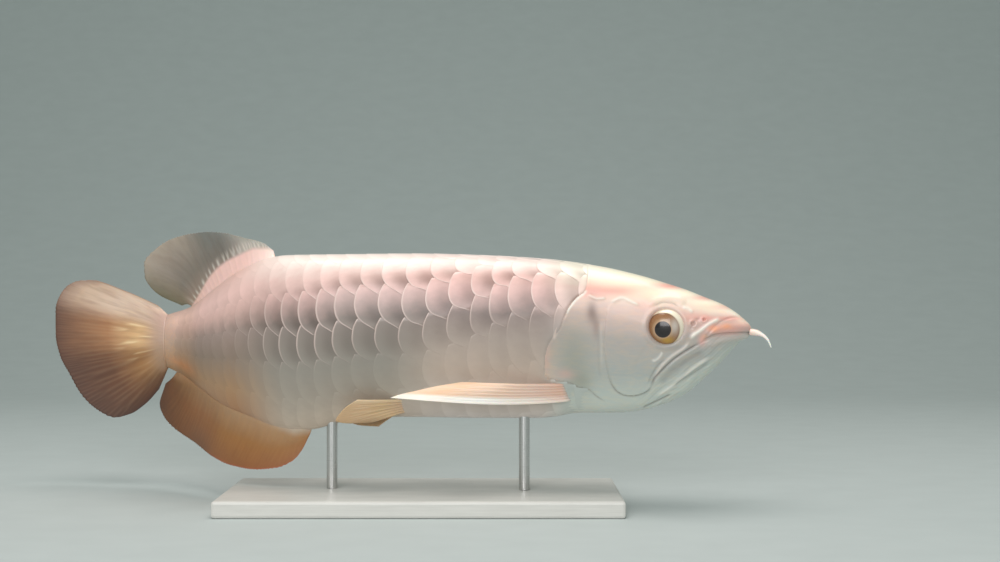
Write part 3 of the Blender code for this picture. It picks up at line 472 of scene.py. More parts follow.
def headRelief(s, z, v):
    # rise over the plain body in mm, and the masks that colour the folds
    lift = np.zeros(s.shape)
    masks = {key: np.zeros(s.shape) for key in ("shade", "gleam", "pink", "lip", "cream", "green", "brown")}
    calm = smooth(0, 0.05, v) * smooth(0, 0.05, 1 - v)

    def atLeast(key, values):
        masks[key] = np.maximum(masks[key], values)

    for line, width, depth, shade in face["grooves"]:
        far, _, along = toLine(s, z, line)
        ends = smooth(0, 0.14, 1 - along)
        if line[0][0] > 0:
            ends = ends * smooth(0, 0.14, along)
        lift -= depth * np.exp(-(far / width) ** 2) * (0.15 + 0.85 * ends) * calm
        atLeast("shade", shade * np.exp(-(far / (0.75 * width)) ** 2) * ends)
    for line, width, rise, gleam, pink in face["ridges"]:
        far, _, along = toLine(s, z, line)
        form = np.exp(-(far / width) ** 2) * smooth(0, 0.15, along) * smooth(0, 0.15, 1 - along) * calm
        lift += rise * form
        atLeast("gleam", gleam * form)
        atLeast("pink", pink * form)
    for line, (stepHigh, stepLow), fade, bright, (shadeHigh, shadeLow) in face["plates"]:
        far, side, along = toLine(s, z, line)
        inside = side < 0
        ends = smooth(0, 0.10, along) * smooth(0, 0.06, 1 - along)
        step = (stepLow + (stepHigh - stepLow) * smooth(126, 148, z)) * ends * calm
        lift += np.where(inside, np.exp(-far / fade) * smooth(0, 0.5, far), -0.5 * np.exp(-far / 2.5)) * step
        if bright:
            # painted highlight along the plate's raised edge where it catches the light from above
            lit = smooth(bright[0] - 3, bright[0] + 2, z) * (1 - smooth(bright[1] - 1, bright[1] + 1, z))
            atLeast("gleam", np.where(inside, np.exp(-((far - 0.8) / 0.9) ** 2), 0) * lit)
        shade = shadeLow + (shadeHigh - shadeLow) * smooth(88, 101, z)
        atLeast("shade", np.where(inside, 0, np.exp(-far ** 2)) * shade * ends)
    eye = face["eye"]
    out = np.hypot(s - eye["s"], z - eye["z"])
    lift += 0.4 * np.exp(-((out - eye["rim"] - 0.6) / 1.5) ** 2)
    lift -= 3.2 * (1 - smooth(eye["radius"] - 2.4, eye["radius"] - 0.2, out))
    atLeast("shade", 0.25 * np.exp(-((out - eye["radius"] - 0.2) / 0.6) ** 2))
    for s0, z0, radius in face["nostrils"]:
        out = np.hypot(s - s0, z - z0)
        lift -= 1.4 * (1 - smooth(radius * 0.4, radius * 1.2, out))
        lift += 0.4 * np.exp(-((out - radius * 1.6) / 0.6) ** 2)
        atLeast("shade", 0.22 * (1 - smooth(radius * 0.4, radius * 1.1, out)))
    # fine uneven streaks along the jaw
    over, down = 0.61 * s + 0.79 * z, 0.79 * s - 0.61 * z
    fine = np.sin(2.3 * over + 1.6 * np.sin(0.23 * down)) * np.sin(0.9 * over + 1.1 * np.sin(0.13 * down + 1))
    onJaw = np.exp(-((over - 104) / 11) ** 4) * (1 - smooth(64, 80, s)) * smooth(4, 20, s)
    lift += 0.08 * fine * onJaw * calm
    atLeast("shade", 0.2 * np.clip(-fine, 0, 1) * onJaw)
    atLeast("gleam", 0.15 * np.clip(fine - 0.2, 0, 1) * onJaw)
    for key in ("lip", "pink", "cream", "green", "brown"):
        masks[key] = np.clip(masks[key] + blob(s, z, face[key]), 0, 1)
    atLeast("shade", blob(s, z, face["dark"]))
    masks["lip"] *= 1 - masks["shade"]
    return lift, masks


# depth: how far the skin lies under the scales' outer faces
coat = {"depth": 0.35, "headRows": 228, "trunkRows": 76, "around": 320}


def makeSkin(finish):
    # one skin from the snout to the tail fin's root
    headRows = body["snout"] + (body["headEnd"] - body["snout"]) * np.linspace(0, 1, coat["headRows"]) ** 1.12
    trunkRows = np.linspace(body["headEnd"], body["end"] + 1.5, coat["trunkRows"])[1:]
    shares = np.linspace(0, 1, coat["around"] // 2 + 1)
    s, v = np.meshgrid(np.concatenate([headRows, trunkRows]), shares, indexing="ij")
    plain = skinAt(s, v)
    relief, masks = headRelief(plain[..., 0], plain[..., 2], v)
    inHead = 1 - smooth(body["headEnd"] - 3, body["headEnd"] + 6, s)
    lift = relief * inHead - coat["depth"] * smooth(60, 150, s)
    lift -= 0.5 * smooth(body["end"] - 5, body["end"] + 1.5, s)  # it dips into the root of the tail fin
    ring = np.concatenate([skinAt(s, v, lift), skinAt(s, v, lift, -1)[:, -2:0:-1]], axis=1)
    rows, cols = ring.shape[:2]
    masks.update({"around": v, "station": s / 500})
    masks = {key: np.concatenate([m, m[:, -2:0:-1]], axis=1) for key, m in masks.items()}
    masks = {key: np.append(m, [m[0].mean(), m[-1].mean()]) for key, m in masks.items()}
    verts = np.concatenate([ring.reshape(-1, 3), ring[[0, -1]].mean(axis=1)])
    # the unwrap: rows along it, the way round from the back up it, and a fan of triangles at each end
    i, j = np.meshgrid(np.arange(rows - 1), np.arange(cols), indexing="ij")
    quads = np.stack([i[..., None] + (0, 0, 1, 1), j[..., None] + (0, 1, 1, 0)], axis=-1).reshape(-1, 2)
    faces, places = gridFaces(rows, cols, wrap=True).tolist(), [quads]
    j = np.arange(cols)
    for row, beyond, order in ((0, -3, (1, 0)), (rows - 1, rows + 2, (0, 1))):
        one, two = j + order[0], j + order[1]
        middle = np.full(cols, rows * cols + (row > 0))
        faces += np.stack([row * cols + one % cols, row * cols + two % cols, middle], axis=1).tolist()
        fan = np.stack([one, two, j + 0.5], axis=1)
        places.append(np.stack(np.broadcast_arrays((row, row, beyond), fan), axis=-1).reshape(-1, 2))
    corners = 0.01 + 0.98 * (np.concatenate(places) + (3, 0)) / (rows + 5, cols)
    nodes = ["head", "lower_jaw", "shoulder", "gill_cover_left", "gill_cover_right", "trunk_front",
             "trunk_rear", "tail"]
    return makePiece("skin", bend(verts), faces, masks, finish, nodes, corners)


skin = makeSkin(makeSkinFinish())
print("skin made:", len(skin.data.polygons), "faces")

# Scales
scales = {
    # stations of the free edges in the row three down from the one on the midline, counted by column
    "columns": [(-3, 86), (0, 135.5), (2, 170), (4, 199), (5, 216), (9, 283), (11, 311.5), (13, 336.5),
                (17, 384), (22, 444), (24, 468), (25, 480)],
    "first": -1, "last": 25, "middleRow": 3, "rows": 5.5,
    "lag": 0.12,  # each row below lags this much toward the tail, in columns
    "share": [(0, 0), (4, 0.7), (5.5, 1)],  # share of the way from back to belly at a row's middle
    # toward the head the rows rise: shares over the even part are raised to this power at a station
    "rise": [(136, 2.1), (156, 1.99), (171, 1.82), (187, 1.52), (200, 1.3), (217, 1.14), (240, 1)],
    "even": 0.25,
    # free edge: share of the row from its middle down, columns forward of its hindmost point
    "edge": [(-0.7, 0.42), (-0.62, 0.3), (-0.5, 0.19), (-0.28, 0.05), (0, 0), (0.2, 0.05), (0.38, 0.17),
             (0.5, 0.33), (0.68, 0.75), (0.8, 1.0), (0.9, 1.25)],
    "upper": -0.68, "lower": 0.86, "reach": 1.9,
    # shares of the way from back to belly between which the rims show, by station
    "rimLow": [
        (120, 0.36), (170, 0.4), (205, 0.44), (235, 0.5), (265, 0.54), (300, 0.56), (340, 0.56),
        (400, 0.5), (440, 0.45)],
    "rimHigh": [(120, 0.16), (150, 0.17), (190, 0.18), (290, 0.22), (330, 0.28), (370, 0.33), (420, 0.36)],
    "lift": 0.85, "root": 0.05, "thickness": 0.2, "bead": 0.2, "beadWidth": 0.6,
    "grid": (22, 29),
}


# the rear edge of the head's plates, which the scales come out from under
headEdge = [(104, 192), (108, 182)] + face["plates"][1][0] + [(97, 66)]


def edgeStation(column):
    return keyed(scales["columns"], column)


def rowShare(place, s):
    # share of the way round at a place counted in rows, which rises toward the head
    plain = straight(scales["share"], np.abs(place))
    power = straight(scales["rise"], s)
    return plain * np.maximum(plain, scales["even"]) ** (power - 1)


def rimStrength(s, v):
    # the rims fade out on the lower front of the flank, along the bright back and toward the tail
    low, high = straight(scales["rimLow"], s), straight(scales["rimHigh"], s)
    under = 1 - smooth(low - 0.10, low + 0.14, v)
    over = 0.2 + 0.8 * smooth(high - 0.06, high + 0.04, v)
    rear = 1 - 0.92 * smooth(315, 390, s)
    return (0.04 + 0.96 * under) * over * rear


def makeScale(column, row, side):
    along, across = scales["grid"]
    a, b = np.meshgrid(np.linspace(0, 1, along) ** 1.7, np.linspace(0, 1, across), indexing="ij")
    tone, _, shift, _ = draw.normal(0, 1, 4)
    upper, lower = (scales["upper"], scales["lower"]) if row else (-scales["lower"], scales["lower"])
    place = upper + (lower - upper) * b
    edge = keyed(scales["edge"], place if row else np.abs(place)) + 0.03 * shift
    behind = a * (scales["reach"] - 0.55 * edge)  # columns from the free edge to its root
    columnAt = column + scales["lag"] * (row - scales["middleRow"]) - edge - behind
    s = edgeStation(columnAt)
    # the rows nearest the back and the belly reach over to the other side
    v = rowShare(row + place, s)
    v = np.where(row + place > scales["rows"], 2 - rowShare(2 * scales["rows"] - row - place, s), v)
    sides = np.where((row + place < 0) | (v > 1), -side, side)
    v = np.where(v > 1, 2 - v, v)
    pitch = edgeStation(columnAt + 0.5) - edgeStation(columnAt - 0.5)
    distance = behind * pitch
    strength = rimStrength(s, v)
    size = pitch / 15
    # its ends dive under the scales next to it
    ends = 1 - smooth(0.66, 0.86, place if row else np.abs(place))
    if row:
        ends = ends * smooth(-0.68, -0.5, place)
    lift = scales["root"] + (scales["lift"] - scales["root"]) * (1 - behind / scales["reach"])
    lift = lift * size * (0.16 + 0.84 * strength) - coat["depth"] - (1 - ends)
    lift += scales["bead"] * np.exp(-(distance / scales["beadWidth"]) ** 2) * strength * size
    lift -= 0.3 * np.exp(-(distance / 0.3) ** 2)  # rounded free edge
    under = skinAt(s, v)
    far, sideOf, _ = toLine(under[..., 0], under[..., 2], headEdge)
    lift -= 3.0 * smooth(-0.2, 3.0, np.where(sideOf < 0, far, 0))
    outer, inner = skinAt(s, v, lift), skinAt(s, v, lift - scales["thickness"])
    outer[..., 1] *= sides
    inner[..., 1] *= sides
    masks = {"around": v, "station": s / 500, "tint": np.full(s.shape, 0.083 + 0.033 * tone)}
    # where the pale rim colour goes: partly the scale's own edge, partly painted highlight
    masks["rim"] = np.exp(-((distance - 0.42) / 0.58) ** 4) * strength * smooth(0.3, 0.8, ends)
    masks["cell"] = smooth(0.05, 0.85, behind) * (0.45 + 0.55 * smooth(-0.35, 0.45, place))
    masks["cell"] *= 0.14 + 0.86 * strength
    return outer, inner, masks, scaleCorners(a, b)


def scaleCorners(a, b):
    # a scale's own cell of the bake's map: its outer face, its rim as a frame round that, and its underside
    rows, cols = a.shape
    outer = np.stack([0.05 + 0.65 * a, 0.06 + 0.88 * b], axis=-1).reshape(-1, 2)
    inner = np.stack([0.79 + 0.16 * a, 0.06 + 0.88 * b], axis=-1).reshape(-1, 2)
    away = np.stack([(a == 1) * 1.0 - (a == 0), (b == 1) * 1.0 - (b == 0)], axis=-1).reshape(-1, 2)
    beyond = outer + 0.04 * away
    rim = rimOf(rows, cols)
    after = np.roll(rim, -1)
    rimCorners = np.stack([outer[after], outer[rim], beyond[rim], beyond[after]], axis=1)
    return np.concatenate([outer[gridFaces(rows, cols, flip=True)], inner[gridFaces(rows, cols)], rimCorners])


def makeScales(finish):
    # one piece for each third of a side, and one for the row along the midline of the back
    pieces = {}
    for side in (1, -1):
        for column in range(scales["first"], scales["last"]):
            for row in range(6):
                lagged = column + scales["lag"] * (row - scales["middleRow"])
                if edgeStation(lagged) > body["end"] - 5 or (row == 0 and side < 0):
                    continue
                scale = makeScale(column, row, side)
                if scale[0][0, :, 0].max() < 114:
                    continue
                third = "front" if column < 7 else "middle" if column < 15 else "rear"
                part = "back" if row == 0 else ("left_" if side > 0 else "right_") + third
                pieces.setdefault(part, []).append((column, max(row, 1) - 1, scale))
    for part, found in pieces.items():
        first = min(column for column, _, _ in found)
        cells = np.array([max(column for column, _, _ in found) - first + 1, 1 if part == "back" else 5])
        verts, faces, corners, masks = [], [], [], {key: [] for key in found[0][2][2]}
        for column, band, (outer, inner, values, own) in found:
            points, quads = closedSheet(outer, inner)
            faces.append(quads + len(points) * len(verts))
            verts.append(points)
            corners.append((own + (column - first, band)) / cells)
            for key in masks:
                masks[key] += [values[key].ravel()] * 2
        masks = {key: np.concatenate(m) for key, m in masks.items()}
        makePiece("scales_" + part, bend(np.concatenate(verts)), np.concatenate(faces), masks, finish,
                  corners=np.concatenate(corners))
        print("scales", part, len(found), "scales,", sum(len(f) for f in faces) * 2, "triangles")


makeScales(makeScaleFinish())

# Fins
medianFins = {
    "dorsal_fin": {
        "root": (347, 438), "edge": "top", "sweep": 2.0, "grid": (150, 56), "rays": 19, "rayRise": 0.24,
        "flesh": 4.0, "fleshShare": 0.5,
        "sheath": [
            (345, 188), (353, 190), (366, 190), (380, 185), (392, 181), (404, 175), (414, 168),
            (422, 160), (430, 152), (440, 144)],
        "outline": [
            (0, 350, 189.5), (0.08, 358, 195), (0.2, 373, 198.6), (0.35, 396, 203.2), (0.5, 421, 204.6),
            (0.62, 445, 203.6), (0.72, 466, 200), (0.79, 482, 192), (0.86, 492.5, 180), (0.9, 492, 170),
            (0.93, 486, 161), (0.96, 475, 153.5), (1, 453, 146.5)]},
    "anal_fin": {
        "root": (318, 458), "edge": "bottom", "sweep": -1.0, "grid": (190, 60), "rays": 26, "rayRise": 0.16,
        "flesh": 4.2, "fleshShare": 0.5,
        "sheath": [(318, 54), (332, 51.8), (357, 61), (387, 70.5), (420, 80), (467, 90)],
        "outline": [
            (0, 321, 50), (0.03, 326, 40), (0.06, 334, 31), (0.1, 347, 25.6), (0.2, 366, 23.7),
            (0.35, 390, 25.5), (0.5, 411, 30), (0.65, 434, 37.5), (0.8, 459, 46), (0.9, 474, 58),
            (0.96, 477, 68), (1, 471, 84)]},
    "caudal_fin": {
        "root": None, "edge": "end", "sweep": 0.0, "grid": (180, 70), "rays": 17, "rayRise": 0.05,
        "flesh": 10.6, "fleshShare": 0.46,
        "outline": [
            (0, 480, 146.5), (0.04, 510, 158.5), (0.08, 537, 167), (0.12, 549, 166.4), (0.22, 563, 157.5),
            (0.33, 568.5, 142), (0.45, 568.5, 122), (0.56, 565, 105), (0.66, 557, 90), (0.75, 547, 73.5),
            (0.83, 533, 61), (0.89, 518, 55), (0.94, 504, 58.5), (0.975, 490, 67.5), (1, 478, 79)]},
}


def rayForm(u, t, rays, split=0.45):
    # height of the rays: one ridge for each, which divides in two and in four towards the edge
    whole = (u * rays) % 1
    one = np.exp(-((whole - 0.5) / 0.16) ** 2)
    pair = np.exp(-((np.abs(whole - 0.5) - 0.22) / 0.11) ** 2)
    quarter = np.exp(-(((whole * 4) % 1 - 0.5) / 0.24) ** 2)
    first, second = smooth(split - 0.12, split + 0.12, t), smooth(0.72, 0.9, t)
    return one * (1 - first) + pair * first * (1 - second) + quarter * second * 0.8


def makeFin(node, front, back, masks, finish):
    verts, faces = closedSheet(front, back)
    masks = {key: np.concatenate([m.ravel()] * 2) for key, m in masks.items()}
    makePiece(node + "_membrane", bend(verts), faces, masks, finish, [node])


def makeMedianFin(name, finish):
    form = medianFins[name]
    count, steps = form["grid"]
    u, t = np.meshgrid(np.linspace(0, 1, count), np.linspace(0, 1, steps), indexing="ij")
    if form["edge"] == "end":
        top, bottom = float(keyed(body["top"], body["end"])), float(keyed(body["bottom"], body["end"]))
        rootS = np.full(u.shape, body["end"] - 1.0)
        rootZ = top - 0.8 + (bottom - top + 1.6) * u
        flesh = form["flesh"] * np.clip(1 - np.abs(2 * u - 1) ** 2.1, 0, 1) ** (1 / 2.1)
    else:
        rootS = form["root"][0] + (form["root"][1] - form["root"][0]) * u
        sink = -2.5 if form["edge"] == "top" else 2.5
        rootZ = keyed(body[form["edge"]], rootS) + sink
        flesh = form["flesh"] * smooth(0, 0.05, u) * smooth(0, 0.04, 1 - u)
    tipS, tipZ = np.moveaxis(keyedPoints(form["outline"], u), -1, 0)
    s = rootS + (tipS - rootS) * t
    z = rootZ + (tipZ - rootZ) * t + form["sweep"] * np.sin(math.pi * t)
    bowed = u + 0.006 * np.sin(u * 31) + 0.004 * np.sin(u * 57 + 3 * t)  # no two rays lie quite alike
    calm = smooth(0, 0.03, u) * (1 - smooth(0.88, 0.96, u))
    ray = rayForm(bowed, t, form["rays"]) * calm
    length = np.hypot(tipS - rootS, tipZ - rootZ) + 1e-6
    # the edge frays a little between the rays
    notch = 0.9 * (1 - ray) * calm * smooth(0.93, 1.0, t) * np.clip(length / 30, 0, 1)
    s -= (tipS - rootS) / length * notch
    z -= (tipZ - rootZ) / length * notch
    uneven = 0.7 + 0.3 * np.sin(23 * u + 1) * np.sin(61 * u)  # no two rays stand quite alike
    rayRise = form["rayRise"] * (1 - 0.75 * t) * ray * uneven
    thick = 0.9 * (1 - 0.45 * t) + 2 * rayRise + flesh * np.clip(1 - t / form["fleshShare"], 0, 1) ** 1.5
    if form["edge"] == "end":  # tucked into the end of the skin
        thick -= 0.9 * (1 - smooth(0, 7, t * length)) * flesh / form["flesh"]
    wave = 0.5 * np.sin(u * 9 + t * 2.0) * t
    front = np.stack([s, wave + thick / 2, z], axis=-1)
    back = np.stack([s, wave - thick / 2, z], axis=-1)
    # how far the body's skin reaches up the fin, and the rays that stand out over its edge; on the tail fin
    # these are mostly painted highlights, glints on the ray bases
    if form["edge"] == "end":
        around = np.clip(0.1 + 0.9 * u, 0, 1)
        sheath = 1 - smooth(0.02, 0.24, t)
        # painted highlights: glints of the light from above on the tail fin's ray bases
        glint = np.clip(1.6 * np.sin(u * 41 + 2 * np.sin(t * 9)) - 0.3, 0, 1)
        middle = np.exp(-((u - 0.42) / 0.2) ** 2) * smooth(0.08, 0.16, t) * (1 - smooth(0.35, 0.55, t))
        dashes = ray * (middle * glint + 0.06 * smooth(0.1, 0.2, t))
    else:
        line = z - straight(form["sheath"], s)
        if form["edge"] == "top":
            around, sheath = 0.1 + 0 * u, 1 - smooth(-1.5, 2.5, line)
            dashes = 0.75 * ray * smooth(0, 2, line) * (1 - smooth(4, 11, line))
        else:
            around, sheath, dashes = 0.9 + 0 * u, 0.9 * smooth(-3.5, 5.0, line), 0.1 * ray
    masks = {"out": t, "across": u, "ray": dashes, "sheath": sheath, "around": around, "station": s / 500}
    makeFin(name, front, back, masks, finish)


dorsalFinish = makeFinFinish("dorsalMembrane", [
    (0, 0, [(0.0, "#dcbfb5"), (0.4, "#bdb0a6"), (1.0, "#a5a39a")]),
    (0.2, 0.42, [(0.0, "#b5978b"), (0.45, "#7d756c"), (1.0, "#7d7f79")]),
    (0.5, 0.72, [(0.0, "#a88f80"), (0.4, "#857b70"), (0.7, "#978c80"), (1.0, "#a79b8d")]),
    (0.84, 0.97, [(0.0, "#a68d7c"), (0.45, "#80745f"), (1.0, "#68644f")])], "#dcd3c8", 30, 0.16)
analFinish = makeFinFinish("analMembrane", [
    (0, 0, [(0.0, "#ab8a66"), (0.5, "#976736"), (0.93, "#8f5a31"), (1.0, "#a5583a")]),
    (0.15, 0.3, [(0.0, "#ab8967"), (0.45, "#996835"), (0.93, "#8a572d"), (1.0, "#9c5636")]),
    (0.45, 0.62, [(0.0, "#a17c57"), (0.4, "#905b2d"), (1.0, "#6b4325")]),
    (0.72, 0.95, [(0.0, "#90683f"), (0.4, "#6f4727"), (1.0, "#523624")])], "#b98a58", 12, 0.1)
# the tail fin's pale ray colour paints highlights: glints of light on the ray bases
caudalFinish = makeFinFinish("caudalMembrane", [
    (0, 0, [(0.0, "#cfae9b"), (0.5, "#dcc2ae"), (0.85, "#c8ab94"), (1.0, "#94796a")]),
    (0.2, 0.36, [(0.0, "#cda98e"), (0.28, "#e2b888"), (0.55, "#a97850"), (1.0, "#5c3a2c")]),
    (0.48, 0.64, [(0.0, "#bd9570"), (0.3, "#a07348"), (0.6, "#6a4329"), (1.0, "#4d3025")]),
    (0.75, 0.95, [(0.0, "#8c6742"), (0.35, "#69452b"), (1.0, "#452c22")])], "#f0d4a8", 18, 0.3)
makeMedianFin("dorsal_fin", dorsalFinish)
makeMedianFin("anal_fin", analFinish)
makeMedianFin("caudal_fin", caudalFinish)

pairedFins = {
    "pectoral_fin": {
        "root": [(0, 125, 78.3), (1, 130, 91)], "bow": 9, "sag": 3.2, "droop": 2.0, "grid": (84, 60),
        "rays": 7, "membrane": 1.0, "flesh": 2.4,
        "tip": [(0, 253, 47, 83.5), (0.25, 247, 45, 85.6), (0.5, 236, 42, 88), (0.75, 222, 38, 91),
                (1, 204, 33, 93.6)]},
    "pelvic_fin": {
        "root": [(0, 249, 78), (1, 247, 68)], "bow": 3, "sag": 0, "droop": 6.0, "grid": (64, 44), "rays": 6,
        "membrane": 0.9, "flesh": 1.5,
        "tip": [(0, 279, 27, 80.3), (0.25, 288, 28, 74), (0.5, 294.5, 26, 65), (0.75, 284, 20, 62.6),
                (1, 270, 13, 62.8)]},
}


def makePairedFin(kind, side, finish):
    form = pairedFins[kind]
    count, steps = form["grid"]
    shares, out = np.linspace(0, 1, count), np.linspace(0, 1, steps)
    middle = np.zeros((count, steps, 3))
    droop = form["droop"] if side > 0 else 0  # the left fins hang a little lower
    for i, u in enumerate(shares):
        s, z = keyedPoints(form["root"], u)
        start, end = skinAt(s, shareAt(s, z), -2.5), keyedPoints(form["tip"], u)
        arc = np.sin(math.pi * out ** 0.8)
        middle[i] = start + (end - start) * out[:, None]
        middle[i, :, 1] += form["bow"] * arc
        middle[i, :, 2] -= form["sag"] * (1 - u) * arc + droop * out * out
    middle[..., 1] *= side
    normal = np.cross(np.gradient(middle, axis=1), np.gradient(middle, axis=0))
    normal /= np.linalg.norm(normal, axis=-1, keepdims=True)
    u, t = np.meshgrid(shares, out, indexing="ij")
    ray = rayForm(u, t, form["rays"], 0.6)
    lead = np.exp(-(u / 0.10) ** 2)
    thick = (form["membrane"] * (1 - 0.45 * t) + 0.8 * ray * (1 - 0.7 * t) + 0.7 * lead * (1 - 0.5 * t)
             + form["flesh"] * np.clip(1 - t / 0.3, 0, 1) ** 1.5)
    half = normal * thick[..., None] / 2
    masks = {"out": t, "across": u, "ray": np.clip(0.3 * ray + 0.6 * lead, 0, 1), "around": 0.75 + 0 * u,
             "sheath": 0.7 * (1 - smooth(0, 0.035, t)), "station": middle[..., 0] / 500}
    node = kind + ("_left" if side > 0 else "_right")
    makeFin(node, middle + half, middle - half, masks, finish)


pectoralFinish = makeFinFinish("pectoralMembrane", [
    (0, 0, [(0.0, "#e6c3b3"), (0.2, "#f6e6da"), (0.5, "#fffaf3"), (0.9, "#fbf0e3"), (1.0, "#f3e2d2")]),
    (0.24, 0.42, [(0.0, "#dfb29c"), (0.25, "#e0bfad"), (0.6, "#e6c3a8"), (0.85, "#edbd96"),
                  (1.0, "#e9c3a2")])], "#fbeadd", 22, 0.16)
pelvicFinish = makeFinFinish("pelvicMembrane", [
    (0, 0, [(0.0, "#c9a98c"), (0.35, "#cdae84"), (0.75, "#c6a681"), (1.0, "#c09f78")])], "#dcc6a4", 14, 0.1)
for side in (-1, 1):
    makePairedFin("pectoral_fin", side, pectoralFinish)
    makePairedFin("pelvic_fin", side, pelvicFinish)
print("fins made")

# Eyes
eye = {**face["eye"], "bulge": 9.0, "sink": 5.0, "tiltBack": 1.9, "tiltDown": 1.8, "iris": 11.4, "rings": 72,
       "around": 96}


def makeEyeFinish():
    # eyeball of guanine-lined sclera with a metallic iris under clear wet cornea: hard small highlights
    finish, tree, shader = newFinish("wetEyeball", {
        "Roughness": 0.25, "Coat Weight": 0.4, "Coat Roughness": 0.05})
    out, grey, gold = (addNode(tree, "Attribute", {"attribute_name": key}, "Fac")
                       for key in ("out", "grey", "gold"))
    iris = addNode(tree, "ValToRGB", {"Fac": out, "stops": [
        (0.0, "#150f12"), (0.41, "#1d1519"), (0.45, "#34272a"), (0.48, "#c2a68c"), (0.55, "#b39478"),
        (0.66, "#a07a58"), (0.86, "#9c7252"), (0.92, "#7d5b41"), (0.95, "#e0d2bc"), (1.0, "#f6eedd")]})
    fibres = addNode(tree, "TexNoise", {"Scale": 1 / (0.9 * mm), "Detail": 3})
    fibres = addNode(tree, "MapRange", {**eased, "Value": fibres, "From Min": 0.3, "From Max": 0.7})
    colour = addNode(tree, "Mix", {**softLight, 0: fibres, 6: iris, 7: "#8c7a5c"}, 2)
    ring = addNode(tree, "MapRange", {**eased, "Value": out, "From Min": 0.46, "From Max": 0.54})
    for mask, tone in ((grey, "#bfb3a8"), (gold, "#b58b35")):
        amount = addNode(tree, "Math", {"operation": "MULTIPLY", 0: mask, 1: ring})
        colour = addNode(tree, "Mix", {**mixed, 0: amount, 6: colour, 7: tone}, 2)
    tree.links.new(colour, shader.inputs["Base Color"])
    return finish


def makeEye(side, finish):
    y = float(skinAt(eye["s"], shareAt(eye["s"], eye["z"]))[1]) - eye["sink"]
    turn = np.linspace(0, 2 * math.pi, eye["around"], endpoint=False)
    polar, turn = np.meshgrid(np.linspace(0, math.pi, eye["rings"]), turn, indexing="ij")
    ds, dz = eye["radius"] * np.sin(polar) * np.cos(turn), eye["radius"] * np.sin(polar) * np.sin(turn)
    bulge = eye["bulge"] * np.cos(polar)
    place = np.hypot(ds - eye["tiltBack"], dz + eye["tiltDown"]) * 0.9 / eye["iris"]
    verts = np.stack([eye["s"] + ds, side * (y + bulge), eye["z"] + dz], axis=-1).reshape(-1, 3)
    faces = gridFaces(eye["rings"], eye["around"], wrap=True)
    gold = np.exp(-((ds + 1.5) / 4.5) ** 2 - ((dz + 9.6) / 2.6) ** 2)
    grey = np.exp(-((ds + 6.5) / 3.4) ** 2 - ((dz - 0.5) / 5.5) ** 2)
    masks = {"out": np.where(polar > 1.7, 1, np.clip(place, 0, 1)), "grey": grey, "gold": gold}
    word = "left" if side > 0 else "right"
    makePiece(f"eyeball_{word}", bend(verts), faces, masks, finish, [f"eye_{word}"])


eyeFinish = makeEyeFinish()
for side in (-1, 1):
    makeEye(side, eyeFinish)

# Barbels
barbel = {"points": [(-4.2, 3.2, 129.4, 2.4), (-8.4, 4.8, 128.8, 2.1), (-12.6, 6.4, 127.2, 1.2),
                     (-16.3, 7.6, 123.8, 0.8), (-18.6, 8.2, 118.6, 0.35)], "steps": 60, "around": 20}


def makeBarbelFinish():
    # soft barbel skin: smooth, damp, almost white at the tip
    finish, tree, shader = newFinish("barbelSkin", {
        "Roughness": 0.35, "Subsurface Weight": 0.3, "Subsurface Scale": 1.5 * mm})
    out = addNode(tree, "Attribute", {"attribute_name": "out"}, "Fac")
    stops = [(0.0, "#ecd2c4"), (0.5, "#f4e8de"), (1.0, "#f6f0e8")]
    tree.links.new(addNode(tree, "ValToRGB", {"Fac": out, "stops": stops}), shader.inputs["Base Color"])
    addRelief(tree, shader, {"Scale": 1 / (0.8 * mm), "Detail": 2}, 0.2, 0.3 * mm)
    return finish


def makeBarbel(side, finish):
    t = np.linspace(0, 1, barbel["steps"])
    path = keyedPoints(np.column_stack([np.linspace(0, 1, len(barbel["points"])), barbel["points"]]), t)
    way = np.gradient(path[:, :3], axis=0)
    way /= np.linalg.norm(way, axis=1, keepdims=True)
    one = np.cross(way, [0, 1, 0])
    one /= np.linalg.norm(one, axis=1, keepdims=True)
    two = np.cross(way, one)
    angle = np.linspace(0, 2 * math.pi, barbel["around"], endpoint=False)
    verts = (path[:, None, :3] + path[:, None, 3:] * (one[:, None] * np.cos(angle)[:, None]
                                                     + two[:, None] * np.sin(angle)[:, None]))
    verts[..., 1] *= side
    count = barbel["around"]
    faces = gridFaces(barbel["steps"], count, wrap=True).tolist()
    faces += [list(range(count))[::-1], list(range((barbel["steps"] - 1) * count, barbel["steps"] * count))]
    word = "left" if side > 0 else "right"
    makePiece(f"barbel_{word}_skin", bend(verts), faces, {"out": np.repeat(t, count)}, finish,
              [f"barbel_{word}"])


barbelFinish = makeBarbelFinish()
for side in (-1, 1):
    makeBarbel(side, barbelFinish)
print("eyes and barbels made")


# Stand
def dressNode(name, finish):
    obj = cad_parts[name]
    obj.data.materials.clear()
    obj.data.materials.append(finish)


def makeBaseFinish():
    # aluminium plate, primed and sprayed with satin paint: an even soft sheen with a slight orange-peel
    finish, tree, shader = newFinish("satinPaintedAluminium", {"Roughness": 0.42})
    cloud = addNode(tree, "TexNoise", {"Scale": 1 / (111.1 * mm), "Detail": 3})  # spray passes 110 mm wide
    colour = addNode(tree, "ValToRGB", {"Fac": cloud, "stops": [(0.3, "#c7c5bf"), (0.7, "#d1cfc9")]})
    tree.links.new(colour, shader.inputs["Base Color"])
    addRelief(tree, shader, {"Scale": 1 / (1.6 * mm), "Detail": 2}, 0.08, 0.3 * mm)  # peel 1.6 mm across
    return finish


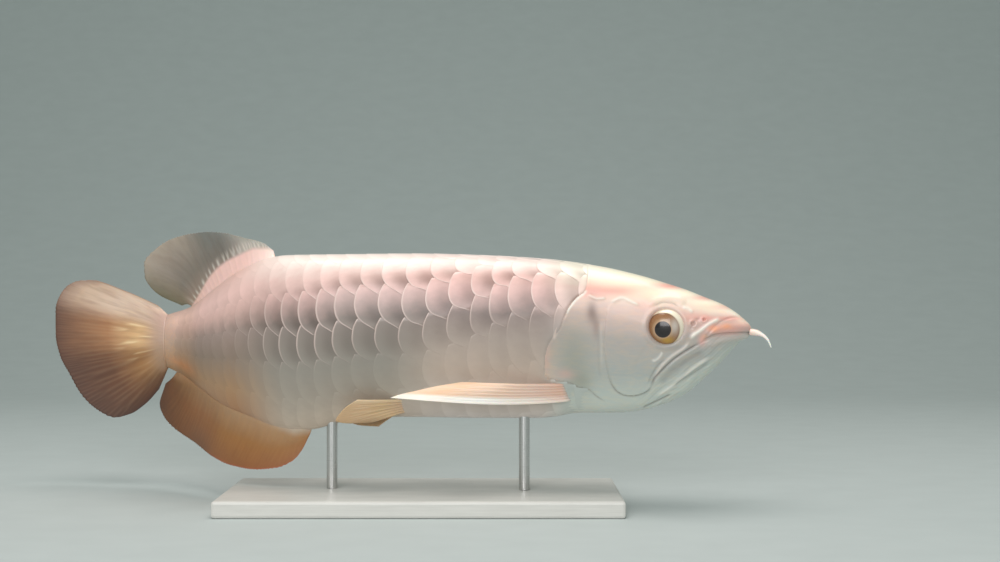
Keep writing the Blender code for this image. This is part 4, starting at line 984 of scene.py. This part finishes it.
def makeRodFinish():
    # stainless steel rod, brushed round: bright with fine lines across its length
    finish, tree, shader = newFinish("brushedStainlessSteel", {
        "Base Color": toLinear("#c9c8c6"), "Metallic": 1.0})
    place = addNode(tree, "TexCoord", {}, "Object")
    stretched = addNode(tree, "Mapping", {"Vector": place, "Scale": (40, 40, 1 / (0.35 * mm))})
    lines = addRelief(tree, shader, {"Vector": stretched, "Scale": 1.0, "Detail": 2}, 0.1, 0.1 * mm)
    rough = addNode(tree, "MapRange", {"Value": lines, "To Min": 0.22, "To Max": 0.38})
    tree.links.new(rough, shader.inputs["Roughness"])
    return finish


dressNode("stand_base", makeBaseFinish())
rodFinish = makeRodFinish()
for word in ("front", "rear"):
    dressNode(f"stand_rod_{word}", rodFinish)
print("stand dressed")


# Floor, light and camera
studio = {"floorSize": 12.0, "bendStart": 0.9, "bendRadius": 1.6, "floor": "#b3bab8", "world": "#a6b2ae",
          "worldStrength": 0.8,
          "lamps": [("top", (0.05, -0.1, 1.5), (1.3, 0.8), 15, "#fffaf8"),
                    ("front", (-0.3, -2.0, 0.8), (1.6, 1.2), 30, "#f8f6f8")],
          "aim": (0.0, 0.0, 0.12)}


def makeStudio():
    finish, tree, shader = newFinish("mattPaperSweep", {"Roughness": 0.85})  # studio paper: pale and dull
    grain = addNode(tree, "TexNoise", {"Scale": 1 / (3.333 * mm), "Detail": 2})  # felted clumps 3 mm across
    colour = addNode(tree, "Mix", {**mixed, 0: grain, 6: studio["floor"], 7: "#bbc2c0"}, 2)
    tree.links.new(colour, shader.inputs["Base Color"])
    # the paper lies flat under the stand and rises in a wide bend far behind it
    half, bendStart, bendRadius = studio["floorSize"] / 2, studio["bendStart"], studio["bendRadius"]
    turn = np.linspace(0, math.pi / 2, 33)
    bent = [(bendStart + bendRadius * math.sin(a), bendRadius * (1 - math.cos(a))) for a in turn]
    run = [(-half, 0), *bent, (bendStart + bendRadius, half)]
    verts = [(x, y, z) for y, z in run for x in (-half, half)]
    mesh = bpy.data.meshes.new("floor")
    mesh.from_pydata(verts, [], [(2 * i, 2 * i + 1, 2 * i + 3, 2 * i + 2) for i in range(len(run) - 1)])
    mesh.shade_smooth()
    mesh.materials.append(finish)
    addObject("floor", mesh)
    for name, place, size, power, colour in studio["lamps"]:
        lamp = bpy.data.lights.new(name, "AREA")
        lamp.shape, lamp.size, lamp.size_y = "RECTANGLE", *size
        lamp.energy, lamp.color = power, toLinear(colour)[:3]
        obj = addObject(name, lamp)
        obj.location = place
        obj.rotation_euler = (Vector(studio["aim"]) - Vector(place)).to_track_quat("-Z", "Y").to_euler()
    world = bpy.data.worlds.new("studio")
    world.use_nodes = True
    sky = world.node_tree.nodes["Background"].inputs
    sky["Color"].default_value = toLinear(studio["world"])
    sky["Strength"].default_value = studio["worldStrength"]
    bpy.context.scene.world = world
    bpy.context.scene.view_settings.view_transform = "Standard"


view = {"place": (0.057, -1.0, 0.166), "lens": 48.65, "sensor": 36.0}
makeStudio()
camera = bpy.data.cameras.new("camera")
camera.lens, camera.sensor_width = view["lens"], view["sensor"]
cameraObject = addObject("camera", camera)
cameraObject.location = view["place"]
cameraObject.rotation_euler = (math.radians(90), 0, 0)
bpy.context.scene.camera = cameraObject
print("studio and camera ready")
